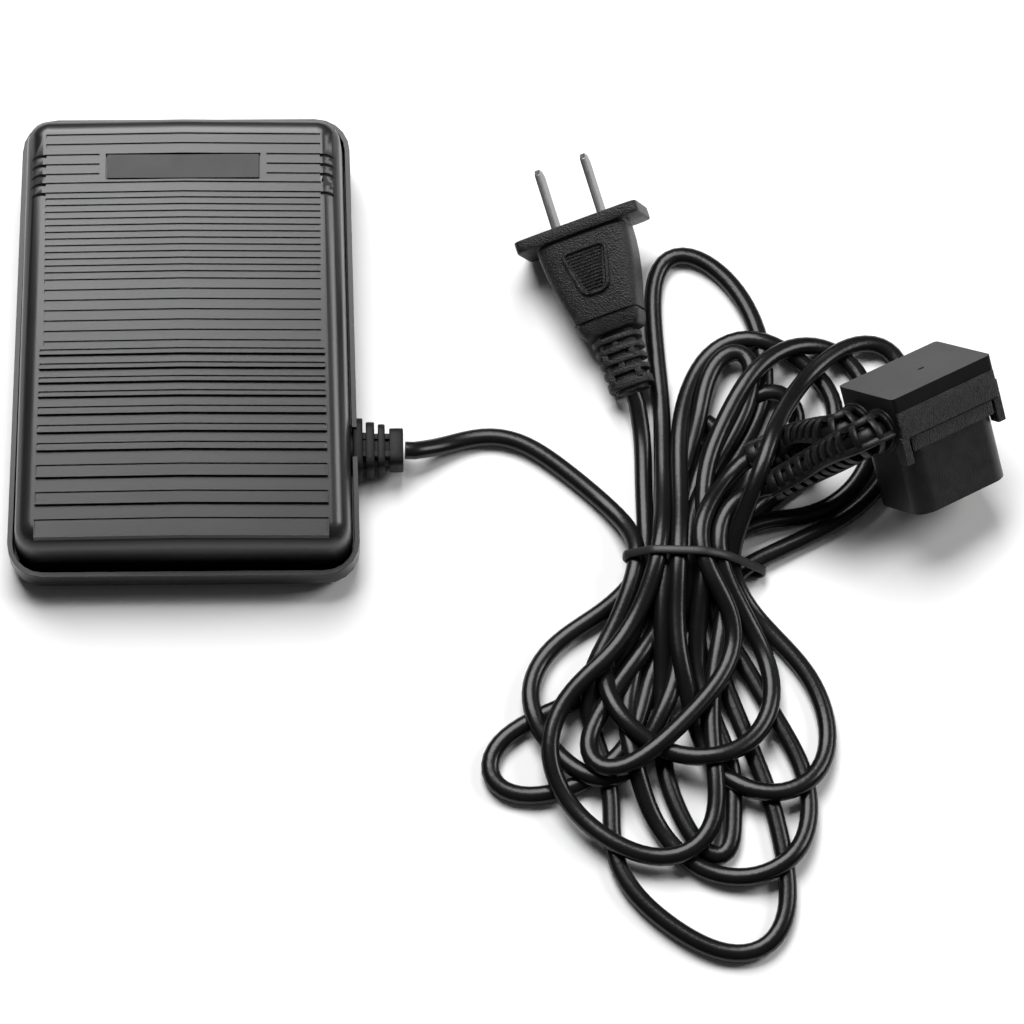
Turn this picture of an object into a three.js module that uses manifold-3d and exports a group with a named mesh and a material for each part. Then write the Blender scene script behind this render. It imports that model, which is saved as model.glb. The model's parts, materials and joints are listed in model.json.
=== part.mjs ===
// Sewing machine foot control: a ribbed rocking cover on a shallow tray, the speed control inside it,
// and the two leads that run to a two-blade mains plug and a block connector for the machine.
// Millimetres. +X is the side the lead leaves from, +Y the toe end, +Z up, the feet stand on z = 0.

import * as THREE from "three";
import { mergeVertices } from "three/addons/utils/BufferGeometryUtils.js";
import Module from "manifold-3d";

// ---- driving dimensions -------------------------------------------------------------------------

const GAP = 0.35; // between pieces that touch or slide

const TRAY = {
  length: 125, // along Y, outside
  width: 89.2, // at the heel end, outside
  taper: 4.6, // how much narrower the toe end is
  corner: 9, // plan radius of a corner
  wall: 1.3,
  floor: 2,
  rim: 10.5, // height of the rim at the heel
  rimRise: 7, // how much higher the rim is at the toe
};
const FOOT = { height: 2, radius: 5, stem: 2.2, inset: 11 };
const COVER = {
  sideGap: 0.4, // between its skirt and the tray's wall
  heelGap: 2.2,
  toeGap: 1.9,
  wall: 2,
  skirt: 3, // how far the skirt reaches below the rim
  heel: 22, // height of the top face over its heel edge
  rise: 13.5, // how much higher the toe edge is
  round: 4.5, // radius along the top edge
  draft: 0.7, // lean of the side walls
  toeLean: 4.5, // lean of the toe wall
  crown: 1.2, // ridge along the middle
};
const RIB = {
  height: 1,
  margin: 5.2, // from the cover's side to a rib's end
  // distance of each wide rib's middle from the heel edge, and its width
  bars: [
    [4.7, 5.2], [12.5, 3.7], [19.5, 3.7], [25.8, 2.4], [30.5, 2.4], [35.2, 2.4],
    [39.5, 1.9], [43.2, 1.9], [46.8, 1.9], [50.5, 1.9],
  ],
};
const BADGE = { length: 38.8, width: 6.4, thick: 0.8, recess: 1.6, fromToe: 14 };
const TRAVEL = 5; // degrees from rest to fully pressed
const STOP = { fromToe: 12, height: 15, width: 8, thick: 3, bumper: 5 };
const HINGE = {
  fromHeel: 11.5, // from the tray's heel to the pin
  z: 9.5,
  inset: 22.6, // from the tray's side to a bracket
  pin: 3,
  overhang: 6, // pin beyond each bracket
  plate: 1.6,
  cheek: 10,
  footLength: 8,
  ear: 2.4,
  screwOffset: 7,
};
const SPRING = { inset: 13.6, y: 22, radius: 4.2, wire: 1.1, turns: 5, seat: 3, rim: 2.2 };
const BOARD = {
  length: 52, thick: 1.6, y: 2, standoff: 3.2,
  clear: 1.25, // to the left spring
  leadRoom: 10.1, // to the lead's clamp
  corner: 4, screw: 3,
};
const SCREW = { shank: 0.9, head: 2, height: 1.3, slot: 0.6 };
const POT = { fromLeft: 9, y: 8, width: 12, length: 14, height: 9, floor: 1.5 };
const PLUNGER = { side: 5, length: 16.4, head: 8, headThick: 1.6, play: 0.5 };
const CLAMP = { inset: 15, spread: 7, width: 5, length: 20, strap: 1.8, legs: 4.2, boss: 1.8 };
const RELIEF = { y: -27, z: 6.6, core: 3.6, outer: 11.5, flange: 2.6, flangeWidth: 13 };
const LEAD = { width: 4.6, height: 3.7 };
const PLUG = {
  x: 102.8, y: 31.4, z: 13.8, // middle of the flange
  heading: 12.5, // degrees from +Y towards -X
  roll: -20,
  pitch: 12, // the blades point up by this
  flangeWidth: 34, flangeDepth: 16, flangeThick: 3.2,
  bodyLength: 27, bodyWidth: 25, bodyDepth: 14, bodyEnd: 17,
  relief: 16.4, reliefWidth: 12, reliefDepth: 8,
};
const BLADE = { width: 6.35, thick: 1.5, length: 17.5, spacing: 12.7, bedded: 3, chamfer: 1.6 };
const BLOCK = {
  x: 189, y: -28.4, z: 20.8, // middle of the block
  heading: 30, dip: 12, roll: 41,
  length: 31.4, depth: 24, height: 33,
  cap: 11.5, inset: 1.5, corner: 5,
  skirt: 6, wall: 2, // depth of the cap's hollow, and its wall
  hole: 3.4, holeDepth: 14, holeSpacing: 8,
  contact: 9, contactWall: 0.8, recess: 3.5,
  cageY: 7.6, cageZ: 5.3,
};
const CAGE = { across: 9, port: 3.2 };
const TIE = { x: 127, y: -59, width: 3, thick: 1.2, across: 25, height: 13 };
const HANK = { lower: 14, upper: 12, neck: 14 }; // heights of the two fans, length of the neck

const rad = THREE.MathUtils.degToRad;
const V2 = (x, y) => new THREE.Vector2(x, y);
const V3 = (x, y, z) => new THREE.Vector3(x, y, z);

// ---- solids -------------------------------------------------------------------------------------

const wasm = await Module();
wasm.setup();

function solid(geometry) {
  const bare = geometry.clone();
  bare.deleteAttribute("normal");
  bare.deleteAttribute("uv");
  const merged = mergeVertices(bare, 1e-4);
  const mesh = new wasm.Mesh({
    numProp: 3,
    vertProperties: merged.attributes.position.array,
    triVerts: new Uint32Array(merged.index.array),
  });
  return new wasm.Manifold(mesh);
}

function geometryOf(manifold) {
  const mesh = manifold.getMesh();
  const geometry = new THREE.BufferGeometry();
  geometry.setAttribute("position", new THREE.BufferAttribute(mesh.vertProperties, 3));
  geometry.setIndex(new THREE.BufferAttribute(mesh.triVerts, 1));
  geometry.computeVertexNormals();
  return geometry;
}

function cut(body, ...tools) {
  return geometryOf(tools.reduce((left, tool) => left.subtract(solid(tool)), solid(body)));
}

function join(body, ...more) {
  return geometryOf(more.reduce((sum, piece) => sum.add(solid(piece)), solid(body)));
}

// A box given by its middle in X and Y and its lowest Z.
function box(width, length, height, x = 0, y = 0, z = 0) {
  return new THREE.BoxGeometry(width, length, height).translate(x, y, z + height / 2);
}

// An upright cylinder given by its lowest Z.
function post(radius, height, x = 0, y = 0, z = 0, sides = 20) {
  const geometry = new THREE.CylinderGeometry(radius, radius, height, sides);
  return geometry.rotateX(Math.PI / 2).translate(x, y, z + height / 2);
}

// A cylinder along X given by its middle.
function rodX(radius, length, x, y, z, sides = 20) {
  const geometry = new THREE.CylinderGeometry(radius, radius, length, sides);
  return geometry.rotateZ(Math.PI / 2).translate(x, y, z);
}

// An upright turned piece from [radius, height] points that start and end on its axis.
function turned(points, x = 0, y = 0, z = 0, sides = 24) {
  const geometry = new THREE.LatheGeometry(points.map(([r, h]) => V2(r, h)), sides);
  return geometry.rotateX(Math.PI / 2).translate(x, y, z);
}

// Triangles that close a ring. A ring that crosses x = 0 at two of its points is folded there.
function capFaces(ring) {
  const ids = ring.map((point, i) => i);
  const [first, second] = ids.filter((i) => Math.abs(ring[i].x) < 1e-6);
  const halves =
    second === undefined
      ? [ids]
      : [ids.slice(first, second + 1), [...ids.slice(second), ...ids.slice(0, first + 1)]];
  return halves.flatMap((half) => {
    const flat = half.map((i) => V2(ring[i].x, ring[i].y));
    return THREE.ShapeUtils.triangulateShape(flat, []).map((face) => face.map((k) => half[k]));
  });
}

// A closed skin over rings of the same number of points, capped at both ends.
function loft(rings) {
  const count = rings[0].length;
  const last = (rings.length - 1) * count;
  const index = [];
  for (let start = 0; start < last; start += count)
    for (let i = 0; i < count; i++) {
      const a = start + i;
      const b = start + ((i + 1) % count);
      index.push(a, b, b + count, a, b + count, a + count);
    }
  for (const [a, b, c] of capFaces(rings[0])) index.push(c, b, a);
  for (const [a, b, c] of capFaces(rings[rings.length - 1])) index.push(last + a, last + b, last + c);
  const position = rings.flat().flatMap((p) => [p.x, p.y, p.z]);
  const geometry = new THREE.BufferGeometry();
  geometry.setAttribute("position", new THREE.Float32BufferAttribute(position, 3));
  return geometry.setIndex(index);
}

// A rod of oval section along a curve, closed at both ends.
function tube(curve, halfWidth, halfHeight, steps, sides = 10) {
  const section = new THREE.Shape();
  section.absellipse(0, 0, halfHeight, halfWidth, 0, 2 * Math.PI);
  const ring = new THREE.Shape(section.getPoints(sides).slice(0, sides));
  return new THREE.ExtrudeGeometry(ring, { extrudePath: curve, steps, bevelEnabled: false });
}

// The pedal's plan outline, anticlockwise: straight sides that taper to the toe, and round corners.
// The sides, heel and toe are each moved in by their own amount, and the ridge line gets two points.
function plan(side, heel, toe, z) {
  const steps = 5;
  const yHeel = -TRAY.length / 2 + heel;
  const yToe = TRAY.length / 2 - toe;
  const half = (y) => TRAY.width / 2 - side - (TRAY.taper / 2) * (y / TRAY.length + 0.5);
  const corner = Math.max(TRAY.corner - (side + heel) / 2, 1.5);
  const points = [];
  const arc = (signX, y, from) => {
    const middle = y + (y < 0 ? corner : -corner);
    const x = signX * (half(middle) - corner);
    for (let i = 0; i <= steps; i++) {
      const angle = from + (Math.PI / 2) * (i / steps);
      points.push(V2(x + corner * Math.cos(angle), middle + corner * Math.sin(angle)));
    }
  };
  points.push(V2(0, yHeel));
  arc(1, yHeel, -Math.PI / 2);
  arc(1, yToe, 0);
  points.push(V2(0, yToe));
  arc(-1, yToe, Math.PI / 2);
  arc(-1, yHeel, Math.PI);
  return points.map((p) => V3(p.x, p.y, z(p.x, p.y)));
}

// ---- places that the pieces share ----------------------------------------------------------------

const heelY = -TRAY.length / 2;
const toeY = TRAY.length / 2;
const coverHeel = heelY + TRAY.wall + COVER.heelGap;
const coverToe = toeY - TRAY.wall - COVER.toeGap;
const coverSide = TRAY.wall + COVER.sideGap;
const floorTop = FOOT.height + TRAY.floor;
const slope = COVER.rise / (coverToe - coverHeel);

// How much narrower the pedal is on each side at a distance along Y.
const narrowing = (y) => (TRAY.taper / 2) * (y / TRAY.length + 0.5);
const level = (z) => () => z;
const rimZ = (x, y) => TRAY.rim + TRAY.rimRise * (y / TRAY.length + 0.5);
const skirtZ = (x, y) => rimZ(x, y) - COVER.skirt;
const topZ = (x, y) =>
  COVER.heel + slope * (y - coverHeel) + COVER.crown * (1 - Math.abs(x) / (TRAY.width / 2));
const ceilingZ = (x, y) => topZ(x, y) - COVER.wall;

const hingeY = heelY + HINGE.fromHeel;
const bracketX = TRAY.width / 2 - HINGE.inset;
const pinLength = 2 * (bracketX + HINGE.overhang);
const bracketScrewY = hingeY + HINGE.screwOffset;

// How far a point of the cover drops from rest to fully pressed.
const pressDrop = (y) => (y - hingeY) * Math.sin(rad(TRAVEL));

const springX = TRAY.width / 2 - SPRING.inset;
const springOuter = SPRING.radius + SPRING.wire / 2;

const clampX = TRAY.width / 2 - CLAMP.inset;
const clampScrews = [-1, 1].map((s) => [clampX, RELIEF.y + s * CLAMP.spread]);

const boardLeft = -(springX - springOuter - BOARD.clear);
const boardRight = clampX - CLAMP.width / 2 - BOARD.leadRoom;
const boardBottom = floorTop + BOARD.standoff + GAP;
const boardTop = boardBottom + BOARD.thick;
const onBoard = boardTop + GAP;
const boardCorners = [boardLeft + BOARD.corner, boardRight - BOARD.corner].flatMap((x) =>
  [-1, 1].map((s) => [x, BOARD.y + s * (BOARD.length / 2 - BOARD.corner)]),
);

const potX = boardLeft + POT.fromLeft;
const plungerTop = onBoard + PLUNGER.length;
const stopY = coverToe - COVER.toeLean - STOP.fromToe;
const stopFoot = floorTop + STOP.height;
const badgeY = coverToe - COVER.toeLean - BADGE.fromToe;

const feet = [-1, 1].flatMap((sx) =>
  [-1, 1].map((sy) => [
    sx * (TRAY.width / 2 - FOOT.inset - TRAY.taper / 4),
    sy * (TRAY.length / 2 - FOOT.inset),
  ]),
);

// ---- tray and feet ------------------------------------------------------------------------------

// A ring of wall standing on the tray's floor.
function collar(radius, bore, height, x, y) {
  const wall = post(radius, height + 0.5, x, y, floorTop - 0.5);
  return cut(wall, post(bore, height + 1, x, y, floorTop));
}

function trayGeometry() {
  const skin = loft([
    plan(2.4, 2.4, 2.4, level(FOOT.height)),
    plan(0.7, 0.7, 0.7, level(FOOT.height + 0.7)),
    plan(0, 0, 0, level(FOOT.height + 2.4)),
    plan(0, 0, 0, rimZ),
  ]);
  const w = TRAY.wall;
  const hollow = loft([plan(w, w, w, level(floorTop)), plan(w, w, w, (x, y) => rimZ(x, y) + 5)]);
  const footHoles = feet.map(([x, y]) => post(FOOT.stem + GAP, TRAY.floor + 2, x, y, FOOT.height - 1));
  const slot = 2 * RELIEF.core + 2 * GAP;
  const notch = box(8, slot, TRAY.rim + TRAY.rimRise, TRAY.width / 2 - 2, RELIEF.y, RELIEF.z - RELIEF.core);
  const standoffs = boardCorners.map(([x, y]) => collar(2.6, SCREW.shank + GAP, BOARD.standoff, x, y));
  const seats = [-1, 1].map((s) =>
    collar(SPRING.radius + SPRING.rim, springOuter + GAP, SPRING.seat, s * springX, SPRING.y),
  );
  const bosses = clampScrews.map(([x, y]) => post(2.6, CLAMP.boss + 0.5, x, y, floorTop - 0.5));
  const body = join(cut(skin, hollow, ...footHoles, notch), ...standoffs, ...seats, ...bosses);
  const screwHoles = [
    ...[-1, 1].map((s) => post(SCREW.shank + GAP, 3, s * bracketX, bracketScrewY, floorTop - 2.4, 12)),
    ...clampScrews.map(([x, y]) => post(SCREW.shank + GAP, 3, x, y, floorTop - 0.6, 12)),
  ];
  return cut(body, ...screwHoles);
}

function footGeometry([x, y]) {
  const lip = floorTop + GAP;
  const { radius, stem, height } = FOOT;
  return turned(
    [
      [0, 0], [radius - 0.6, 0], [radius, 0.6], [radius, height - GAP], [stem, height - GAP],
      [stem, lip], [stem + 0.9, lip], [stem - 0.4, lip + 1.4], [0, lip + 1.4],
    ],
    x, y, 0,
  );
}

// A pan-head screw with a slot, its head's underside at the given height.
function screwGeometry(x, y, z, depth) {
  const { shank, head, height, slot } = SCREW;
  const profile = [
    [0, -depth], [shank, -depth], [shank, 0], [head, 0], [head, height / 2], [head - 0.8, height],
    [0, height],
  ];
  return cut(turned(profile, x, y, z, 16), box(2 * head + 1, slot, height, x, y, z + height / 2));
}

// ---- cover --------------------------------------------------------------------------------------

// The cover's outside, or its hollow when it is moved in by an inset and down by a drop.
function coverSkin(inset, drop, bottom) {
  const ring = (lean, turn, z) => {
    const curve = COVER.round * (1 - Math.cos(turn));
    return plan(
      coverSide + inset + COVER.draft * lean + curve,
      TRAY.wall + COVER.heelGap + inset + COVER.draft * lean + curve,
      TRAY.wall + COVER.toeGap + inset + COVER.toeLean * lean + curve,
      z,
    );
  };
  const shoulders = [0, 1 / 3, 2 / 3, 1].map((part) => {
    const turn = (part * Math.PI) / 2;
    return ring(1, turn, (x, y) => topZ(x, y) - drop - COVER.round * (1 - Math.sin(turn)));
  });
  return loft([ring(0, 0, bottom), ...shoulders]);
}

// One raised bar across the top face.
function bar(y, width, halfLength) {
  const outline = [
    [0, y - width / 2], [halfLength, y - width / 2], [halfLength, y + width / 2],
    [0, y + width / 2], [-halfLength, y + width / 2], [-halfLength, y - width / 2],
  ];
  const ring = (lift) => outline.map(([x, yy]) => V3(x, yy, topZ(x, yy) + lift));
  return loft([ring(-COVER.wall / 2), ring(RIB.height)]);
}

// Lays a piece drawn round the origin on the cover's ridge at the badge, tilted with the top face.
const onTop = (geometry, height) =>
  geometry.rotateX(Math.atan(slope)).translate(0, badgeY, topZ(0, badgeY) + height);

const badgeGeometry = () => onTop(box(BADGE.length, BADGE.width, BADGE.thick), GAP - BADGE.recess);

// A post that hangs from the cover's ceiling down to a given height.
function hanger(width, length, x, y, foot) {
  return box(width, length, ceilingZ(x, y) + COVER.wall / 2 - foot, x, y, foot);
}

function coverGeometry() {
  const shell = cut(coverSkin(0, 0, skirtZ), coverSkin(COVER.wall, COVER.wall, (x, y) => skirtZ(x, y) - 1));
  const edge = TRAY.width / 2 - coverSide - COVER.draft - RIB.margin;
  const bars = RIB.bars.map(([fromHeel, width]) => {
    const y = coverHeel + fromHeel;
    return bar(y, width, edge - narrowing(y));
  });
  const pocket = onTop(box(BADGE.length + 2 * GAP, BADGE.width + 2 * GAP, 6), -BADGE.recess);
  const notchTop = RELIEF.z + RELIEF.core + pressDrop(RELIEF.y) + GAP;
  const notch = box(12, RELIEF.flangeWidth + 2 * GAP, notchTop, TRAY.width / 2 - 4, RELIEF.y, 0);
  const ears = [-1, 1].map((s) => {
    const x = s * (bracketX - HINGE.plate / 2 - 2 * GAP - HINGE.ear / 2);
    const ear = hanger(HINGE.ear, 8, x, hingeY, HINGE.z - 3.4);
    return cut(ear, rodX(HINGE.pin / 2 + GAP, HINGE.ear + 2, x, hingeY, HINGE.z));
  });
  const cups = [-1, 1].map((s) => {
    const x = s * springX;
    const low = ceilingZ(x, SPRING.y) - SPRING.seat;
    const ring = post(SPRING.radius + SPRING.rim, SPRING.seat + COVER.wall / 2, x, SPRING.y, low);
    return cut(ring, post(springOuter + GAP, SPRING.seat + 0.5, x, SPRING.y, low - 0.5));
  });
  const presser = hanger(PLUNGER.side - 1, PLUNGER.side - 1, potX, POT.y, plungerTop + GAP);
  const stop = hanger(STOP.width, STOP.thick, 0, stopY, stopFoot);
  return cut(join(shell, ...bars, ...ears, ...cups, presser, stop), pocket, notch);
}

function bumperGeometry() {
  const height = stopFoot - pressDrop(stopY) - 2 * GAP - (floorTop + GAP);
  const { bumper } = STOP;
  const profile = [[0, 0], [bumper, 0], [bumper, height - 1.2], [bumper - 1.2, height], [0, height]];
  return turned(profile, 0, stopY, floorTop + GAP);
}

// ---- hinge and springs --------------------------------------------------------------------------

function bracketGeometry(side) {
  const x = side * bracketX;
  const low = floorTop + GAP;
  const foot = box(HINGE.footLength, HINGE.cheek, 1.2, x, hingeY + HINGE.cheek / 2 + 0.5, low);
  const cheek = box(HINGE.plate, HINGE.cheek, HINGE.z + 3 - low, x, hingeY, low);
  const pinBore = rodX(HINGE.pin / 2 + GAP, 6, x, hingeY, HINGE.z);
  return cut(join(foot, cheek), pinBore, post(SCREW.shank + 2 * GAP, 4, x, bracketScrewY, floorTop - 1, 12));
}

function springGeometry(side) {
  const foot = floorTop + GAP + SPRING.wire / 2;
  const edge = SPRING.radius + SPRING.wire;
  const head = ceilingZ(springX + edge, SPRING.y - edge) - 2 * GAP - SPRING.wire / 2;
  class Helix extends THREE.Curve {
    getPoint(t) {
      const angle = t * SPRING.turns * 2 * Math.PI;
      const x = side * springX + SPRING.radius * Math.cos(angle);
      return V3(x, SPRING.y + SPRING.radius * Math.sin(angle), foot + (head - foot) * t);
    }
  }
  return tube(new Helix(), SPRING.wire / 2, SPRING.wire / 2, SPRING.turns * 14, 6);
}

// ---- speed control ------------------------------------------------------------------------------

function boardGeometry() {
  const holes = boardCorners.map(([x, y]) => post(SCREW.shank + 2 * GAP, 4, x, y, boardBottom - 1, 12));
  const middle = (boardLeft + boardRight) / 2;
  const plate = box(boardRight - boardLeft, BOARD.length, BOARD.thick, middle, BOARD.y, boardBottom);
  return cut(plate, ...holes);
}

function potGeometry() {
  const body = box(POT.width, POT.length, POT.height, potX, POT.y, onBoard);
  const side = PLUNGER.side + 2 * GAP;
  return cut(body, box(side, side, POT.height, potX, POT.y, onBoard + POT.floor));
}

// The plunger stands in the potentiometer's well, as high over its floor as it travels.
function plungerGeometry() {
  const low = onBoard + POT.floor + pressDrop(POT.y) + PLUNGER.play;
  const stem = box(PLUNGER.side, PLUNGER.side, plungerTop - low, potX, POT.y, low);
  const { head, headThick } = PLUNGER;
  return join(stem, box(head, head, headThick, potX, POT.y, plungerTop - headThick));
}

const SINK = { x: 6, y: 9, thick: 2, length: 22, height: 9, fin: 6, finThick: 1.4, pitch: 6 };

function heatSinkGeometry() {
  const plate = box(SINK.thick, SINK.length, SINK.height, SINK.x, SINK.y, onBoard);
  const fins = [-1.5, -0.5, 0.5, 1.5].map((k) =>
    box(SINK.fin, SINK.finThick, SINK.height, SINK.x + SINK.fin / 2, SINK.y + k * SINK.pitch, onBoard),
  );
  return join(plate, ...fins);
}

function triacGeometry() {
  const back = SINK.x - SINK.thick / 2 - GAP;
  const tab = box(1.2, 10, 8.6, back - 0.6, SINK.y, onBoard);
  return join(box(4, 10, 8, back - 2, SINK.y, onBoard + 0.3), tab);
}

function chokeGeometry() {
  const ring = new THREE.TorusGeometry(4.4, 2, 8, 18);
  return ring.translate(boardLeft + 11, -12.5, onBoard + 2.1);
}

function capacitorGeometry() {
  return join(box(6, 15, 8, 0, -14, onBoard), box(5, 14, 9, 0, -14, onBoard));
}

const TERMINAL = { x: boardRight - 4.5, y: -10.6, width: 9, length: 14, height: 8, pitch: 4.4, hole: 1.5 };

function terminalGeometry() {
  const { x, y, hole } = TERMINAL;
  const body = box(TERMINAL.width, TERMINAL.length, TERMINAL.height, x, y, onBoard);
  const rows = [-1, 0, 1].map((k) => y + k * TERMINAL.pitch);
  const ways = rows.map((row) => rodX(hole, 5, x + TERMINAL.width / 2 - 1, row, onBoard + 3, 10));
  const tops = rows.map((row) => post(hole, 3, x - 1, row, onBoard + 6, 10));
  return cut(body, ...ways, ...tops);
}

// ---- lead entry ---------------------------------------------------------------------------------

// Where the tray's side wall stands at the lead's notch, outside.
const wallOut = TRAY.width / 2 - narrowing(RELIEF.y);
const reliefStart = wallOut - TRAY.wall - GAP - RELIEF.flange;
const reliefEnd = wallOut + GAP + RELIEF.outer;

// Flexible relief: a flange inside the wall, a neck through the notch, three fins and a collar.
function reliefGeometry() {
  const length = reliefEnd - reliefStart;
  const neck = rodX(RELIEF.core - GAP, length - 1, reliefStart + length / 2, RELIEF.y, RELIEF.z, 16);
  const low = floorTop + GAP;
  const tall = RELIEF.z + RELIEF.core - GAP - low;
  const flange = box(RELIEF.flange, RELIEF.flangeWidth, tall, reliefStart + RELIEF.flange / 2, RELIEF.y, low);
  // each plate's distance from the wall, its thickness, width and height
  const plates = [[1, 2, 15.5, 11], [4.2, 2.2, 13.6, 9.6], [7, 1.8, 12.6, 8.8], [9.7, 3.6, 10.6, 7.6]];
  const fins = plates.map(([out, thick, wide, high]) =>
    box(thick, wide, high, wallOut + GAP + out, RELIEF.y, RELIEF.z - high / 2),
  );
  return join(neck, flange, ...fins);
}

function clampGeometry() {
  const low = floorTop + CLAMP.boss + GAP;
  const strap = box(CLAMP.width, CLAMP.length, CLAMP.strap, clampX, RELIEF.y, low + CLAMP.legs - 0.2);
  const legs = clampScrews.map(([x, y]) => box(CLAMP.width, 6, CLAMP.legs, x, y, low));
  const bores = clampScrews.map(([x, y]) => post(SCREW.shank + 2 * GAP, 12, x, y, floorTop, 12));
  return cut(join(strap, ...legs), ...bores);
}
const clampTop = floorTop + CLAMP.boss + CLAMP.legs + CLAMP.strap + GAP;

// The end of the pedal's lead inside the tray: under the clamp and up to the terminals.
function tailGeometry() {
  const z = floorTop + CLAMP.boss + CLAMP.legs - LEAD.height / 2 - GAP;
  const end = TERMINAL.x + TERMINAL.width / 2 + GAP;
  const points = [
    [reliefStart - GAP, RELIEF.y, RELIEF.z + 0.3], [clampX + 4, RELIEF.y, z],
    [clampX - 3, RELIEF.y + 0.6, z], [clampX - 5.5, RELIEF.y + 6, z + 1.6],
    [end + 5, TERMINAL.y - 2, onBoard + 2.4], [end + GAP, TERMINAL.y, onBoard + 3],
  ];
  return lead(points, 14);
}

// ---- plug, in its own frame: blades along +Y, wide side along X ----------------------------------

const plugFace = PLUG.flangeThick / 2;
const plugEnd = -plugFace - PLUG.bodyLength;

// A rounded oblong across the plug at a distance along it, drawn in the XY plane for loft.
function plugRing(along, width, depth, radius) {
  const points = [];
  for (const [sx, sy, from] of [[1, -1, -90], [1, 1, 0], [-1, 1, 90], [-1, -1, 180]])
    for (let i = 0; i <= 3; i++) {
      const angle = rad(from + 30 * i);
      const x = sx * (width / 2 - radius) + radius * Math.cos(angle);
      points.push(V3(x, sy * (depth / 2 - radius) + radius * Math.sin(angle), -along));
    }
  return points;
}

function plugBody() {
  const { bodyWidth, bodyDepth, bodyEnd } = PLUG;
  const flange = loft([plugFace, -plugFace].map((at) => plugRing(at, PLUG.flangeWidth, PLUG.flangeDepth, 3)));
  const body = loft([
    plugRing(0, bodyWidth, bodyDepth, 3),
    plugRing(-plugFace - 4, bodyWidth, bodyDepth, 3),
    plugRing(-plugFace - 12, bodyWidth - 2, bodyDepth, 4),
    plugRing(-plugFace - 20, bodyEnd + 1, bodyDepth - 2, 4),
    plugRing(plugEnd, bodyEnd, bodyDepth - 3, 4),
  ]);
  const relief = loft([
    plugRing(plugEnd + 1, PLUG.reliefWidth, PLUG.reliefDepth, 3),
    plugRing(plugEnd - PLUG.relief, PLUG.reliefWidth - 2.6, PLUG.reliefDepth - 1, 3),
  ]);
  const slots = [-1, 1].map((s) =>
    box(BLADE.thick + 2 * GAP, BLADE.width + 2 * GAP, 5).translate((s * BLADE.spacing) / 2, 0, -plugFace - GAP),
  );
  return cut(join(flange, body, relief), ...slots).rotateX(Math.PI / 2);
}

function bladeGeometry(side) {
  const half = BLADE.width / 2;
  const root = plugFace - BLADE.bedded;
  const tip = plugFace + BLADE.length;
  const shape = new THREE.Shape([
    V2(-half, root), V2(half, root), V2(half, tip - BLADE.chamfer), V2(half - BLADE.chamfer, tip),
    V2(-half + BLADE.chamfer, tip), V2(-half, tip - BLADE.chamfer),
  ]);
  const blade = new THREE.ExtrudeGeometry(shape, { depth: BLADE.thick, bevelEnabled: false });
  return blade.translate(0, 0, -BLADE.thick / 2).rotateY(Math.PI / 2).translate((side * BLADE.spacing) / 2, 0, 0);
}

// ---- block connector, in its own frame: cages leave along -X, socket opens along -Y --------------

// A box with rounded upright edges that hangs down from y = top, drawn in the XZ plane.
function roundBox(long, height, deep, radius, top) {
  const hx = long / 2 - radius;
  const hy = deep / 2 - radius;
  const shape = new THREE.Shape();
  shape.moveTo(hx, -deep / 2);
  shape.absarc(hx, -hy, radius, -Math.PI / 2, 0);
  shape.absarc(hx, hy, radius, 0, Math.PI / 2);
  shape.absarc(-hx, hy, radius, Math.PI / 2, Math.PI);
  shape.absarc(-hx, -hy, radius, Math.PI, 1.5 * Math.PI);
  const body = new THREE.ExtrudeGeometry(shape, { depth: height, bevelEnabled: false, curveSegments: 5 });
  return body.rotateX(Math.PI / 2).translate(0, top, 0);
}

const blockTop = BLOCK.height / 2;

function capGeometry() {
  const cap = roundBox(BLOCK.length, BLOCK.cap, BLOCK.depth, 1.2, blockTop);
  const thin = 2 * BLOCK.wall;
  const hollow = roundBox(BLOCK.length - thin, BLOCK.cap, BLOCK.depth - thin, 3.5, blockTop - BLOCK.skirt);
  const ports = [-1, 1].map((s) =>
    rodX(CAGE.port, 8, -BLOCK.length / 2, BLOCK.cageY + 1.4, s * BLOCK.cageZ, 14),
  );
  return cut(cap, hollow, ...ports);
}

function socketGeometry() {
  const thin = 2 * (BLOCK.wall + GAP);
  const neck = roundBox(BLOCK.length - thin, 7, BLOCK.depth - thin, 3, blockTop - BLOCK.skirt - GAP);
  const shoulder = blockTop - BLOCK.cap - GAP;
  const [long, deep] = [BLOCK.length, BLOCK.depth].map((size) => size - 2 * BLOCK.inset);
  const lower = roundBox(long, shoulder + blockTop, deep, BLOCK.corner, shoulder);
  const holes = [-1, 0, 1].map((k) =>
    post(BLOCK.hole, BLOCK.holeDepth, 0, 0, 0, 14).rotateX(-Math.PI / 2)
      .translate(k * BLOCK.holeSpacing, -blockTop - 1, 0),
  );
  return cut(join(neck, lower), ...holes);
}

function contactGeometry(k) {
  const radius = BLOCK.hole - 2 * GAP;
  const sleeve = post(radius, BLOCK.contact, 0, 0, 0, 14);
  const bore = post(radius - BLOCK.contactWall, BLOCK.contact - 1, 0, 0, -1, 14);
  return cut(sleeve, bore).rotateX(-Math.PI / 2).translate(k * BLOCK.holeSpacing, BLOCK.recess - blockTop, 0);
}

// ---- leads --------------------------------------------------------------------------------------

const block = new THREE.Group();
block.position.set(BLOCK.x, BLOCK.y, BLOCK.z);
block.rotation.set(rad(BLOCK.roll), rad(BLOCK.dip), rad(BLOCK.heading), "ZYX");
block.updateMatrixWorld(true);

const plug = new THREE.Group();
plug.position.set(PLUG.x, PLUG.y, PLUG.z);
plug.rotation.set(rad(PLUG.pitch), rad(PLUG.roll), rad(PLUG.heading), "ZYX");
plug.updateMatrixWorld(true);

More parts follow.
